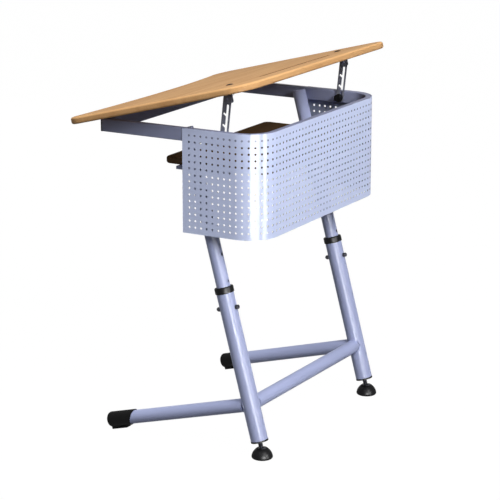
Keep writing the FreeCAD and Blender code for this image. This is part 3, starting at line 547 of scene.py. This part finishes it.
def quarter_turn(shape, axis):
    """Turns a shape by 90 degrees about an axis through the origin."""
    bmesh.ops.rotate(shape, verts=shape.verts, cent=(0, 0, 0), matrix=Matrix.Rotation(QUARTER, 3, axis))


def rounded_slab(low, high, corner, edge, corner_steps, edge_steps):
    """A flat slab with round corners in plan and rounded rims."""
    shape = bmesh.new()
    bmesh.ops.create_cube(shape, size=1.0)
    bmesh.ops.scale(shape, vec=high - low, verts=shape.verts)
    bmesh.ops.translate(shape, vec=(high + low) / 2, verts=shape.verts)
    upright = [e for e in shape.edges if abs(e.verts[0].co.z - e.verts[1].co.z) > (high.z - low.z) / 2]
    round_off(shape, upright, corner, corner_steps)
    round_off(shape, level_edges(shape, (low.z, high.z)), edge, edge_steps)
    return shape


def tube(radius, wall, length):
    """An open round tube on Z, from the origin upwards."""
    shape = bmesh.new()
    bmesh.ops.create_circle(shape, cap_ends=True, segments=ROUND_STEPS, radius=radius)
    inset = bmesh.ops.inset_region(shape, faces=shape.faces, thickness=wall, use_boundary=True,
                                   use_even_offset=True)
    middle = [face for face in shape.faces if face not in inset["faces"]]
    bmesh.ops.delete(shape, geom=middle, context="FACES_ONLY")
    run_on(shape, shape.faces[:], (0, 0, length))
    return shape


def turned(profile, steps=ROUND_STEPS):
    """A closed shape of revolution about Z from (radius, height) pairs that start and end on Z."""
    shape = bmesh.new()
    verts = [shape.verts.new((radius, 0, height)) for radius, height in profile]
    edges = [shape.edges.new(pair) for pair in zip(verts, verts[1:])]
    bmesh.ops.spin(shape, geom=verts + edges, cent=(0, 0, 0), axis=(0, 0, 1), angle=math.tau, steps=steps,
                   use_merge=True)
    bmesh.ops.remove_doubles(shape, verts=shape.verts, dist=1e-6)
    return shape


def arc(radius, x, y, start, end, steps):
    """Points round a centre, in plan or in a turned profile's radius and height, with angles in degrees."""
    turns = [math.radians(start + (end - start) * step / steps) for step in range(steps + 1)]
    return [(x + radius * math.cos(turn), y + radius * math.sin(turn)) for turn in turns]


def bow(start, middle, end, steps):
    """Points of the round stretch of a turned profile that goes through three points."""
    (ax, ay), (bx, by), (cx, cy) = start, middle, end
    double = 2 * (ax * (by - cy) + bx * (cy - ay) + cx * (ay - by))
    a, b, c = ax * ax + ay * ay, bx * bx + by * by, cx * cx + cy * cy
    x = (a * (by - cy) + b * (cy - ay) + c * (ay - by)) / double
    y = (a * (cx - bx) + b * (ax - cx) + c * (bx - ax)) / double
    turns = [math.degrees(math.atan2(height - y, radius - x)) for radius, height in (start, end)]
    return arc(math.hypot(ax - x, ay - y), x, y, turns[0], turns[1], steps)


def tube_profile(wide, high, corner, corner_steps=4):
    """The filled outline of a rectangular tube, in the plane of X and Z."""
    shape = bmesh.new()
    bmesh.ops.create_grid(shape, x_segments=1, y_segments=1, size=0.5)
    bmesh.ops.scale(shape, vec=(wide, high, 1), verts=shape.verts)
    round_off(shape, shape.verts[:], corner, corner_steps, "VERTICES")
    quarter_turn(shape, "X")
    return shape


def run_on(shape, faces, run):
    """Extrudes end faces along a straight run and returns the new end faces."""
    raised = bmesh.ops.extrude_face_region(shape, geom=faces)
    ends = [item for item in raised["geom"] if isinstance(item, bmesh.types.BMFace)]
    verts = [item for item in raised["geom"] if isinstance(item, bmesh.types.BMVert)]
    bmesh.ops.translate(shape, vec=run, verts=verts)
    return ends


def bend_on(shape, faces, centre, turn, steps=24):
    """Extrudes end faces round an upright axis and returns the new end faces."""
    bent = bmesh.ops.spin(shape, geom=faces, cent=centre, axis=(0, 0, 1), angle=turn, steps=steps)
    return [item for item in bent["geom_last"] if isinstance(item, bmesh.types.BMFace)]


def drop_inner_faces(shape):
    """Deletes the sections that a bend leaves inside a shape."""
    inner = [face for face in shape.faces if all(len(edge.link_faces) > 2 for edge in face.edges)]
    bmesh.ops.delete(shape, geom=inner, context="FACES_ONLY")


def saddle_bead(tube_radius, post_radius, bead, sections=10, ripples=36, ripple_share=0.12):
    """A weld bead round a tube on Z that stands square on a post lying along Y, at the origin."""
    shape = bmesh.new()
    bmesh.ops.create_circle(shape, segments=sections, radius=bead)
    quarter_turn(shape, "X")
    bmesh.ops.translate(shape, vec=(tube_radius, 0, 0), verts=shape.verts)
    bmesh.ops.spin(shape, geom=shape.verts[:] + shape.edges[:], cent=(0, 0, 0), axis=(0, 0, 1),
                   angle=math.tau, steps=ROUND_STEPS, use_merge=True)
    for vert in shape.verts:
        across = tube_radius * vert.co.x / math.hypot(vert.co.x, vert.co.y)
        ripple = 1 + ripple_share * math.sin(ripples * math.atan2(vert.co.y, vert.co.x))
        vert.co.z = vert.co.z * ripple + math.sqrt(post_radius ** 2 - across ** 2)
    return shape


# Pieces

class DESK_OT_board(Operator):
    """Makes the beech board with its rounded edges and pencil groove"""

    bl_idname = "desk.board"
    bl_label = "Board"

    # How far a face of the upper rounding, which gets a painted highlight, looks up, from 0 at the edge to 1 on
    # the top
    worn_from, worn_to = 0.2, 0.97

    def execute(self, context):
        sizes = context.scene.desk_board
        half_width = Box("desk_board").size.x / 2
        top = sizes.rise + sizes.thickness
        slab = bmesh.new()
        slab.faces.new([slab.verts.new((x, y, sizes.rise)) for x, y in self.outline(sizes, half_width)])
        run_on(slab, slab.faces[:], (0, 0, sizes.thickness))
        round_off(slab, level_edges(slab, (sizes.rise, top)), sizes.edge, 8)
        board = place_piece("writing_board", slab, on_board(), "desk_beech", "top")
        rise = top + sizes.groove_radius - sizes.groove_depth
        groove = Vector((0, sizes.groove_place - sizes.overhang, rise))
        place = on_board() @ Matrix.Translation(groove)
        cut_away(board, [as_object("cutter", self.groove_room(sizes), place)])
        # Marks where a highlight is painted on the upper rounding and shade in the groove
        self.mark_painted_light(board.data, sizes, groove, top)
        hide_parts("desk_board")
        return {"FINISHED"}

    def groove_room(self, sizes):
        """The room that the pencil groove takes, along X with round ends, at the origin."""
        shape = bmesh.new()
        bmesh.ops.create_uvsphere(shape, u_segments=32, v_segments=16, radius=sizes.groove_radius)
        for end in (-1, 1):
            half = [vert for vert in shape.verts if vert.co.z * end > sizes.groove_radius / 100]
            bmesh.ops.translate(shape, vec=(0, 0, end * sizes.groove_length / 2), verts=half)
        quarter_turn(shape, "Y")
        return shape

    def mark_painted_light(self, mesh, sizes, groove, top, skin=1e-4):
        """Marks the upper rounding, which gets a painted highlight, and the groove, which gets painted shade."""
        rubbed = mesh.attributes.new("rubbed", "FLOAT", "FACE").data
        soiled = mesh.attributes.new("soiled", "FLOAT", "FACE").data
        half_long = sizes.groove_length / 2 + sizes.groove_radius
        flat = on_board().inverted()
        for face in mesh.polygons:
            centre = flat @ face.center
            away = centre - groove
            below = centre.z < top - skin
            in_groove = below and abs(away.x) < half_long and abs(away.y) < sizes.groove_radius
            up = (flat.to_3x3() @ face.normal).z
            soiled[face.index].value = float(in_groove)
            rubbed[face.index].value = float(self.worn_from < up < self.worn_to and not in_groove)

    def outline(self, sizes, half):
        """The board in plan: a hollow front edge between two corners, and a straight rear edge."""
        rear = sizes.depth - sizes.overhang
        sweep = (half ** 2 + sizes.hollow ** 2) / (2 * sizes.hollow)
        centre = sizes.hollow - sizes.overhang - sweep
        front, back = sizes.front_corner, sizes.rear_corner
        reach = half - front
        lean = math.degrees(math.asin(reach / (sweep + front)))
        middle = centre + math.sqrt((sweep + front) ** 2 - reach ** 2)
        points = arc(sweep, 0, centre, 90 + lean, 90 - lean, 60)
        points += arc(front, reach, middle, -90 - lean, 0, 18)[1:]
        points += arc(back, half - back, rear - back, 0, 90, 16)
        points += arc(back, back - half, rear - back, 90, 180, 16)
        points += arc(front, -reach, middle, 180, 270 + lean, 18)[:-1]
        return points


class DESK_OT_board_bolts(Operator):
    """Makes the bracket bolts with domed, socketed heads on the board"""

    bl_idname = "desk.board_bolts"
    bl_label = "Board bolts"

    # Shares of the head's radius: the shank, the socket's mouth and its foot
    shank_share, socket_share, socket_foot_share = 1 / 3, 0.42, 0.42 * 0.94
    # Shares of the head's height: the socket's floor at its rim and in its middle
    floor_rim_share, floor_share = 0.45, 0.35

    def execute(self, context):
        sizes = context.scene.desk_board
        bracket = Box("strut_bracket_right")
        head, high = sizes.bolt_head, sizes.bolt_head_high
        reach = Box("bracket_bolts").high.x - head
        shank, socket, foot = head * self.shank_share, head * self.socket_share, head * self.socket_foot_share
        long = sizes.thickness + bracket.size.z / 3
        curve = (head ** 2 + high ** 2) / (2 * high)
        spread = math.degrees(math.asin(head / curve))
        crown = arc(curve, 0, high - curve, 90 - spread, 90 - math.degrees(math.asin(socket / curve)), 8)
        profile = [(0, -long), (shank, -long), (shank, 0), (head, 0)] + crown
        profile += [(foot, high * self.floor_rim_share), (0, high * self.floor_share)]
        for name, side in SIDES.items():
            place = Matrix.Translation((side * reach, sizes.bolt_place, sizes.rise + sizes.thickness))
            place_piece("board_bolt_" + name, turned(profile, 48), on_board() @ place, "desk_black", "top")
        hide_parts("bracket_bolts")
        return {"FINISHED"}


class DESK_OT_shelf(Operator):
    """Makes the dark book shelf"""

    bl_idname = "desk.shelf"
    bl_label = "Book shelf"

    def execute(self, context):
        sizes = context.scene.desk_frame
        room = Box("book_shelf")
        slab = rounded_slab(room.low, room.high, sizes.shelf_corner, sizes.shelf_edge, 10, 4)
        shelf = place_piece("shelf_board", slab, AS_DRAWN, "desk_walnut", "frame")
        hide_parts("book_shelf")
        return {"FINISHED"}


class DESK_OT_skirt(Operator):
    """Makes the perforated skirt panel as one bent sheet"""

    bl_idname = "desk.skirt"
    bl_label = "Perforated skirt"

    def execute(self, context):
        sizes = context.scene.desk_skirt
        side = Box("panel_side_right")
        back = Box("panel_back")
        half_width = side.high.x
        straight = half_width - sizes.bend
        corner = sizes.bend * QUARTER
        half_run = straight + corner + side.size.y
        shape = bmesh.new()
        first = -sizes.pitch * (sizes.columns - 1) / 2
        self.draw_cell(shape, sizes, (first, back.high.z - sizes.top_margin, 0))
        self.repeat(shape, sizes.rows, 1, -sizes.pitch)
        self.repeat(shape, sizes.columns, 0, sizes.pitch)
        bmesh.ops.remove_doubles(shape, verts=shape.verts, dist=sizes.pitch / 100)
        for axis, limit in ((1, back.high.z), (1, back.low.z), (0, half_run), (0, -half_run)):
            self.widen(shape, axis, limit)
        for vert in shape.verts:
            vert.co = self.bent(vert.co, straight, corner, sizes.bend, half_width, back.high.y)
        bmesh.ops.recalc_face_normals(shape, faces=shape.faces)
        shape.normal_update()
        bmesh.ops.solidify(shape, geom=shape.faces[:], thickness=sizes.sheet)
        skirt = place_piece("perforated_skirt", shape, AS_DRAWN, "desk_lavender", "frame")
        # Painted shade on the hole walls, and a share of it on the skirt's inner side
        mark_painted_shade(skirt.data, sizes.sheet * sizes.hole / 2, front=side.low.y, inner_side_shade=0.6)
        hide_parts("panel_back", "panel_corner_left", "panel_corner_right", "panel_side_left",
                    "panel_side_right")
        return {"FINISHED"}

    def draw_cell(self, shape, sizes, centre, corners=12):
        """One square of the sheet with its round hole, in the plane of X and Y."""
        bmesh.ops.create_grid(shape, x_segments=3, y_segments=3, size=sizes.pitch / 2)
        inner = [vert for vert in shape.verts if not vert.is_boundary]
        bmesh.ops.delete(shape, geom=inner, context="VERTS")
        bmesh.ops.create_circle(shape, segments=corners, radius=sizes.hole / 2,
                                matrix=Matrix.Rotation(math.pi / corners, 4, "Z"))
        bmesh.ops.bridge_loops(shape, edges=shape.edges[:])
        bmesh.ops.translate(shape, vec=centre, verts=shape.verts)

    def repeat(self, shape, count, axis, step):
        """Repeats what is drawn so far, in even steps along an axis."""
        drawn = shape.verts[:] + shape.edges[:] + shape.faces[:]
        for place in range(1, count):
            copy = bmesh.ops.duplicate(shape, geom=drawn)["geom"]
            run = [0, 0, 0]
            run[axis] = place * step
            bmesh.ops.translate(shape, vec=run, verts=[i for i in copy if isinstance(i, bmesh.types.BMVert)])

    def widen(self, shape, axis, limit):
        """Carries one outer edge of the flat sheet out to its limit along an axis."""
        outward = 1 if limit > sum(vert.co[axis] for vert in shape.verts) / len(shape.verts) else -1
        rim = max(vert.co[axis] * outward for vert in shape.verts)
        edges = [e for e in shape.edges if all(abs(v.co[axis] * outward - rim) < 1e-6 for v in e.verts)]
        drawn = bmesh.ops.extrude_edge_only(shape, edges=edges)["geom"]
        for vert in drawn:
            if isinstance(vert, bmesh.types.BMVert):
                vert.co[axis] = limit

    def bent(self, flat, straight, corner, bend, half_width, rear):
        """From a point of the flat sheet, along and up, to the bent sheet's outer face."""
        side = math.copysign(1, flat.x)
        run = abs(flat.x)
        if run <= straight:
            return Vector((flat.x, rear, flat.y))
        if run <= straight + corner:
            turn = (run - straight) / bend
            across = straight + bend * math.sin(turn)
            return Vector((side * across, rear - bend * (1 - math.cos(turn)), flat.y))
        return Vector((side * half_width, rear - bend - (run - straight - corner), flat.y))


class DESK_OT_rails(Operator):
    """Makes the bent rail, the front rail and the welds between them"""

    bl_idname = "desk.rails"
    bl_label = "Rails"

    def execute(self, context):
        sizes = context.scene.desk_frame
        skirt = context.scene.desk_skirt
        rail, front = Box("rail_frame"), Box("front_rail")
        shape = self.bent_bar(rail, rail.high.x - front.high.x, skirt.bend - skirt.sheet, sizes.tube_corner)
        rail_piece = place_piece("bent_rail", shape, AS_DRAWN, "desk_slate", "frame")
        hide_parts("rail_frame")
        shape = self.level_bar(front, front.size.y, sizes.tube_corner, front.low.x, front.size.x)
        bar = place_piece("front_bar", shape, AS_DRAWN, "desk_slate", "frame")
        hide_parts("front_rail")
        bead = sizes.bead
        for name, side in SIDES.items():
            shape = self.level_bar(front, front.size.y + bead, sizes.tube_corner + bead / 2,
                                   side * (front.high.x - bead), side * bead)
            place_piece("rail_weld_" + name, shape, AS_DRAWN, "desk_slate", "frame")
        return {"FINISHED"}

    def bent_bar(self, rail, wide, bend, corner):
        """The rail, drawn from one front end round both rear bends to the other."""
        x, y, z = rail.high.x - bend, rail.high.y - bend, rail.middle.z
        shape = tube_profile(wide, rail.size.z, corner)
        bmesh.ops.translate(shape, vec=(rail.high.x - wide / 2, rail.low.y, z), verts=shape.verts)
        ends = run_on(shape, shape.faces[:], (0, y - rail.low.y, 0))
        ends = bend_on(shape, ends, (x, y, z), QUARTER)
        ends = run_on(shape, ends, (-2 * x, 0, 0))
        ends = bend_on(shape, ends, (-x, y, z), QUARTER)
        run_on(shape, ends, (0, rail.low.y - y, 0))
        drop_inner_faces(shape)
        return shape

    def level_bar(self, front, wide, corner, start, run):
        """A bar of the front rail's height, from its start along X."""
        shape = tube_profile(wide, front.size.z, corner)
        quarter_turn(shape, "Z")
        bmesh.ops.translate(shape, vec=(start, front.middle.y, front.middle.z), verts=shape.verts)
        run_on(shape, shape.faces[:], (run, 0, 0))
        return shape


class DESK_OT_legs(Operator):
    """Makes the sleeves and the inner tubes with their adjusting holes"""

    bl_idname = "desk.legs"
    bl_label = "Legs"

    holes = 3

    def execute(self, context):
        sizes = context.scene.desk_frame
        for name, side in SIDES.items():
            radius, low, high = leg_span("leg_sleeve_" + name)
            lock = high - sizes.lock_below_top
            shape = tube(radius, sizes.wall, high - low)
            place = on_leg(side) @ Matrix.Translation((0, 0, low))
            sleeve = place_piece("sleeve_tube_" + name, shape, place, "desk_lilac", "base")
            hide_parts("leg_sleeve_" + name)
            radius, low, high = leg_span("inner_tube_" + name)
            shape = tube(radius, sizes.wall, high - low)
            place = on_leg(side) @ Matrix.Translation((0, 0, low))
            post = place_piece("height_tube_" + name, shape, place, "desk_lilac", "frame")
            cut_away(post, [self.hole(sizes, side, lock + step * sizes.adjust_step, radius)
                            for step in range(self.holes)])
            # Painted shade on the walls of the adjusting holes
            mark_painted_shade(post.data, sizes.wall * sizes.adjust_hole / 2)
            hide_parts("inner_tube_" + name)
        return {"FINISHED"}

    def hole(self, sizes, side, rise, radius):
        """A rod through a leg, at its rise up the leg."""
        rod = bmesh.new()
        bmesh.ops.create_cone(rod, cap_ends=True, segments=24, radius1=sizes.adjust_hole,
                              radius2=sizes.adjust_hole, depth=3 * radius)
        quarter_turn(rod, "X")
        return as_object("cutter", rod, on_leg(side) @ Matrix.Translation((0, 0, rise)))


class DESK_OT_base(Operator):
    """Makes the cross bar and the base tubes, with weld beads round their joints"""

    bl_idname = "desk.base"
    bl_label = "Base"

    def execute(self, context):
        sizes = context.scene.desk_frame
        bar = Box("cross_bar")
        radius = bar.size.z / 2
        post_radius = Box("leg_sleeve_right").size.x / 2
        start = post_radius - sizes.wall
        reach = LEG_FLOOR.x - start
        across = Matrix.Translation((-reach, bar.middle.y, bar.middle.z)) @ Matrix.Rotation(QUARTER, 4, "Y")
        piece = place_piece("cross_tube", tube(radius, sizes.wall, 2 * reach), across, "desk_lilac", "base")
        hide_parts("cross_bar")
        for name, side in SIDES.items():
            shape = tube(radius, sizes.wall, base_tube_end(name) - start)
            place = on_base(side) @ Matrix.Translation((0, 0, start))
            piece = place_piece("foot_tube_" + name, shape, place, "desk_lilac", "base")
            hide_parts("base_tube_" + name)
            shape = saddle_bead(radius, post_radius, sizes.bead)
            place_piece("foot_weld_" + name, shape, on_base(side), "desk_lilac", "base")
            place = on_leg(side) @ Matrix.Translation((0, 0, bar.middle.z / math.cos(LEAN)))
            place = place @ Matrix.Rotation(-side * QUARTER, 4, "Y") @ Matrix.Rotation(QUARTER, 4, "Z")
            shape = saddle_bead(radius, post_radius, sizes.bead)
            place_piece("cross_weld_" + name, shape, place, "desk_lilac", "base")
        return {"FINISHED"}


class DESK_OT_stems(Operator):
    """Makes the threaded stems of the levelling feet"""

    bl_idname = "desk.stems"
    bl_label = "Levelling stems"

    # Shares of the stem's radius: the bottom of its thread, and its neck over the ball
    root_share, neck_share = 0.88, 0.8

    def execute(self, context):
        sizes = context.scene.desk_frame
        node = Box("foot_stem_right")
        top = (node.high.z - sizes.stem * math.sin(LEAN)) / math.cos(LEAN)
        ball = node.size.x / 2
        root = sizes.stem * self.root_share
        grip = math.degrees(math.asin(sizes.stem * self.neck_share / ball))
        profile = arc(ball, 0, FOOT_BALL.z / math.cos(LEAN), -90, 90 - grip, 12)
        height = profile[-1][1] + sizes.thread
        while height < top - sizes.thread:
            profile += [(root, height), (sizes.stem, height + sizes.thread / 2)]
            height += sizes.thread
        profile += [(root, top), (0, top)]
        for name, side in SIDES.items():
            piece = place_piece("threaded_stem_" + name, turned(profile, 32), on_leg(side), "desk_blackened",
                                "stem_" + name)
            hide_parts("foot_stem_" + name)
        return {"FINISHED"}


class DESK_OT_collars(Operator):
    """Makes the black collars in the sleeves' upper ends"""

    bl_idname = "desk.collars"
    bl_label = "Collars"

    def execute(self, context):
        sizes = context.scene.desk_fittings
        bore = leg_span("inner_tube_right")[0] + sizes.slide_gap
        for name, side in SIDES.items():
            sleeve, _, mouth = leg_span("leg_sleeve_" + name)
            outer = Box("collar_" + name).size.x / 2
            inside = sleeve - context.scene.desk_frame.wall
            low = mouth - sizes.collar_skirt
            top, bottom = mouth + sizes.collar_high / 2, mouth - sizes.collar_high / 2
            edge = sizes.collar_edge
            lip = min(edge, outer - sleeve - sizes.slide_gap)
            profile = [(bore, low), (bore, top - edge / 4), (bore + edge / 4, top)]
            profile += arc(edge, outer - edge, top - edge, 90, 0, 8)
            profile += arc(lip, outer - lip, bottom + lip, 0, -90, 6)
            profile += [(sleeve, bottom), (sleeve, mouth), (inside, mouth), (inside, low), (bore, low)]
            piece = place_piece("collar_ring_" + name, turned(profile), on_leg(side), "desk_black", "base")
            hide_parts("collar_" + name)
        return {"FINISHED"}


class DESK_OT_pads(Operator):
    """Makes the domed pads of the levelling feet"""

    bl_idname = "desk.pads"
    bl_label = "Foot pads"

    # Between the sole and the widest ring: how far out the swell is, and how far up
    swell_out, swell_up = 0.7, 0.35
    # The socket's lip, as a share of the mouth's radius
    lip_share = 0.93

    def execute(self, context):
        sizes = context.scene.desk_fittings
        sole, mouth = sizes.pad_sole, sizes.pad_mouth
        ball = Box("foot_stem_right").size.x / 2 + sizes.ball_gap
        lip = math.degrees(math.acos(mouth * self.lip_share / ball))
        for name in SIDES:
            node = Box("foot_pad_" + name)
            rim, top = node.size.x / 2, node.high.z
            swell = (sole + (rim - sole) * self.swell_out, sizes.pad_rim * self.swell_up)
            shoulder = (sizes.pad_shoulder, sizes.pad_shoulder_rise)
            profile = [(0, 0)] + bow((sole, 0), swell, (rim, sizes.pad_rim), 6)
            profile += bow((rim, sizes.pad_rim), shoulder, (sizes.pad_neck, top), 18)[1:]
            profile += [(mouth, top)] + arc(ball, 0, FOOT_BALL.z, lip, -90, 16)
            place = Matrix.Translation((node.middle.x, node.middle.y, 0))
            piece = place_piece("domed_pad_" + name, turned(profile), place, "desk_black", "pad_" + name)
            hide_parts("foot_pad_" + name)
        return {"FINISHED"}


class DESK_OT_foot_caps(Operator):
    """Makes the slanting rubber caps of the base tubes, with their skids"""

    bl_idname = "desk.foot_caps"
    bl_label = "Foot caps"

    skid_rounding = 0.0006

    def execute(self, context):
        sizes = context.scene.desk_fittings
        bore = Box("cross_bar").size.z / 2
        for name, side in SIDES.items():
            tube_end = base_tube_end(name)
            tip = tube_end + sizes.cap_wall
            shape = self.cap(sizes, bore, Box("foot_cap_" + name).size.x / 2, tube_end, tip)
            place = on_base(side)
            piece = place_piece("rubber_cap_" + name, shape, place, "desk_rubber", "base")
            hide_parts("foot_cap_" + name)
            shape = self.skid(sizes, bore, tip)
            place_piece("skid_" + name, shape, place, "desk_rubber", "base")
        return {"FINISHED"}

    def cap(self, sizes, bore, outer, tube_end, tip):
        """A cup over the tube's end, longer above than below."""
        start, end = tip - sizes.cap_above, sizes.cap_end
        profile = [(0, tube_end), (bore, tube_end), (bore, start), (outer, start)]
        profile += arc(end, outer - end, tip - end, 0, 90, 8) + [(0, tip)]
        shape = turned(profile)
        slant = math.atan2(sizes.cap_above - sizes.cap_below, 2 * outer)
        upwards = (0, math.sin(slant), math.cos(slant))
        cut = bmesh.ops.bisect_plane(shape, geom=shape.verts[:] + shape.edges[:] + shape.faces[:],
                                     plane_co=(0, outer, start), plane_no=upwards, clear_inner=True)
        rims = [item for item in cut["geom_cut"] if isinstance(item, bmesh.types.BMEdge)]
        bmesh.ops.bridge_loops(shape, edges=rims)
        return shape

    def skid(self, sizes, bore, tip):
        """A block with a ramp, from inside the cap's wall down to the floor."""
        end = tip - sizes.skid_from_tip
        start = end - sizes.skid_long
        low = (Box("cross_bar").middle.z - end * math.sin(LEAN)) / math.cos(LEAN)
        half, ramp = sizes.skid_wide / 2, sizes.skid_ramp
        rim = [(-bore, start - ramp), (-bore, end), (-low, end), (-low, start), (ramp - low, start - ramp)]
        shape = bmesh.new()
        shape.faces.new([shape.verts.new((-half, across, along)) for across, along in rim])
        run_on(shape, shape.faces[:], (2 * half, 0, 0))
        round_off(shape, shape.edges[:], self.skid_rounding, 3)
        return shape


class DESK_OT_fittings(Operator):
    """Gives the nodes that stay as packed their finishes"""

    bl_idname = "desk.fittings"
    bl_label = "Fittings"

    finish_of_slot = {
        "frame_paint": "desk_lilac",
        "slate_paint": "desk_slate",
        "panel_paint": "desk_lavender",
        "board_wood": "desk_beech",
        "shelf_wood": "desk_walnut",
        "black_plastic": "desk_black",
        "black_rubber": "desk_rubber",
        "zinc_steel": "desk_zinc",
        "dark_steel": "desk_blackened",
    }

    def execute(self, context):
        for part in frame["record"]["subparts"]:
            node = frame["nodes"][part["node"]]
            finish = finishes()[self.finish_of_slot[part["material_slot"]]]
            if part["node"].startswith("strut"):
                finish = finishes()["desk_graphite"]
            if not node.data.materials:
                node.data.materials.append(finish)
            for slot in node.material_slots:
                slot.material = finish
        return {"FINISHED"}


class DESK_OT_stage(Operator):
    """Makes the pale floor, the lamps, the white surroundings and the camera"""

    bl_idname = "desk.stage"
    bl_label = "Stage"

    desk_middle = Vector((0, 0, 0.45))
    white = (1, 1, 1, 1)
    world_light = 0.05
    floor_radius = 14.0
    # The floor's white for the camera: its strength, and its share, which leaves room for the shadow
    floor_glow, glow_share = 1.06, 0.94
    # Name, angle in degrees from +X towards +Y, distance, width, heights of both ends, radiance
    strip_lamps = (
        ("rear_strip", 81, 2.0, 0.30, (0.0, 1.0), 60.0),
        ("corner_strip", 48, 2.0, 0.92, (0.0, 0.6), 70.0),
    )
    # Name, place, size, radiance
    soft_lamps = (
        ("key_lamp", (1.35, 2.8, 2.6), 1.6, 16.5),
        ("top_lamp", (0.4, -1.3, 3.4), 1.8, 4.1),
        ("side_lamp", (2.95, 0.4, 3.2), 1.2, 4.6),
        ("front_lamp", (-2.3, -3.3, 0.75), 1.5, 1.6),
    )
    camera_place = Vector((4.26259, 2.488775, 1.70919))
    camera_look = Vector((-0.83808, -0.48173, -0.25606))
    sensor_width = 36.0
    # The focal length and the picture's width, in pixels
    focal_pixels, picture_pixels = 2135.2, 500

    def execute(self, context):
        self.lay_floor(context.scene.desk_colours.floor)
        self.light_world()
        for name, azimuth, distance, wide, heights, radiance in self.strip_lamps:
            self.hang_strip_lamp(name, math.radians(azimuth), distance, wide, heights, radiance)
        for name, place, size, radiance in self.soft_lamps:
            self.add_lamp(name, Vector(place), self.desk_middle - Vector(place), size, size, radiance)
        self.place_camera(context)
        context.scene.view_settings.view_transform = "Standard"
        return {"FINISHED"}

    def place_camera(self, context):
        lens = bpy.data.cameras.new("camera")
        lens.sensor_width = self.sensor_width
        lens.lens = self.sensor_width * self.focal_pixels / self.picture_pixels
        lens.clip_end = 100.0
        camera = bpy.data.objects.new("camera", lens)
        camera.location = self.camera_place
        camera.rotation_euler = self.camera_look.to_track_quat("-Z", "Y").to_euler()
        context.scene.collection.objects.link(camera)
        context.scene.camera = camera

    def lay_floor(self, colour):
        shape = bmesh.new()
        bmesh.ops.create_circle(shape, cap_ends=True, segments=ROUND_STEPS, radius=self.floor_radius)
        floor = as_object("floor", shape, AS_DRAWN)
        shader = Shader("floor")
        shader.set(base_color=rgba(colour), roughness=0.9, specular_ior_level=0.0)
        glow = shader.node("Emission", {}, {"Color": self.white, "Strength": self.floor_glow})
        surface = Value(shader, shader.surface.outputs[0])
        blend = shader.node("MixShader", {}, {0: shader.seen() * self.glow_share, 1: surface, 2: glow})
        shader.feed(shader.output.inputs[0], blend)
        floor.data.materials.append(shader.material)

    def light_world(self):
        """White for what the camera, gloss and glass show, and faint for light that falls on the desk."""
        world = bpy.data.worlds.new("studio")
        bpy.context.scene.world = world
        nodes = NodeTree(world, "World")
        strength = nodes.seen() * (1 - self.world_light) + self.world_light
        back = nodes.node("Background", {}, {"Color": self.white, "Strength": strength})
        nodes.feed(nodes.output.inputs["Surface"], back)

    def hang_strip_lamp(self, name, turn, distance, wide, heights, radiance):
        """An upright strip that only shows as gloss."""
        low, high = heights
        place = Vector((distance * math.cos(turn), distance * math.sin(turn), (low + high) / 2))
        strip = self.add_lamp(name, place, Vector((-place.x, -place.y, 0)), wide, high - low, radiance)
        strip.visible_diffuse = False

    def add_lamp(self, name, place, look, wide, high, radiance):
        lamp = bpy.data.lights.new(name, "AREA")
        lamp.shape = "RECTANGLE"
        lamp.size = wide
        lamp.size_y = high
        lamp.energy = radiance * math.pi * wide * high
        holder = bpy.data.objects.new(name, lamp)
        holder.location = place
        holder.rotation_euler = look.to_track_quat("-Z", "Y").to_euler()
        holder.visible_camera = False
        bpy.context.scene.collection.objects.link(holder)
        return holder


class DESK_PT_sidebar(Panel):
    """Lists the desk's pieces and its sizes"""

    bl_idname = "DESK_PT_sidebar"
    bl_label = "Tilting School Desk"
    bl_space_type = "VIEW_3D"
    bl_region_type = "UI"
    bl_category = "Desk"

    def draw(self, context):
        layout = self.layout
        for operator in OPERATORS:
            layout.operator(operator.bl_idname)
        for group in GROUPS:
            settings = getattr(context.scene, group)
            for setting in settings.__annotations__:
                layout.prop(settings, setting)


OPERATORS = (
    DESK_OT_board,
    DESK_OT_board_bolts,
    DESK_OT_shelf,
    DESK_OT_skirt,
    DESK_OT_rails,
    DESK_OT_legs,
    DESK_OT_base,
    DESK_OT_stems,
    DESK_OT_collars,
    DESK_OT_pads,
    DESK_OT_foot_caps,
    DESK_OT_fittings,
    DESK_OT_stage,
)

GROUPS = {
    "desk_board": BoardSizes,
    "desk_skirt": SkirtSizes,
    "desk_frame": FrameSizes,
    "desk_fittings": FittingSizes,
    "desk_colours": DeskColours,
}


def register():
    for name, group in GROUPS.items():
        bpy.utils.register_class(group)
        setattr(bpy.types.Scene, name, PointerProperty(type=group))
    for part in OPERATORS + (DESK_PT_sidebar,):
        bpy.utils.register_class(part)


def unregister():
    for part in reversed(OPERATORS + (DESK_PT_sidebar,)):
        bpy.utils.unregister_class(part)
    for name, group in GROUPS.items():
        delattr(bpy.types.Scene, name)
        bpy.utils.unregister_class(group)


def main():
    register()
    bpy.ops.desk.board()
    bpy.ops.desk.board_bolts()
    bpy.ops.desk.shelf()
    bpy.ops.desk.skirt()
    bpy.ops.desk.rails()
    bpy.ops.desk.legs()
    bpy.ops.desk.base()
    bpy.ops.desk.stems()
    bpy.ops.desk.collars()
    bpy.ops.desk.pads()
    bpy.ops.desk.foot_caps()
    bpy.ops.desk.fittings()
    bpy.ops.desk.stage()


if __name__ == "__main__":
    main()
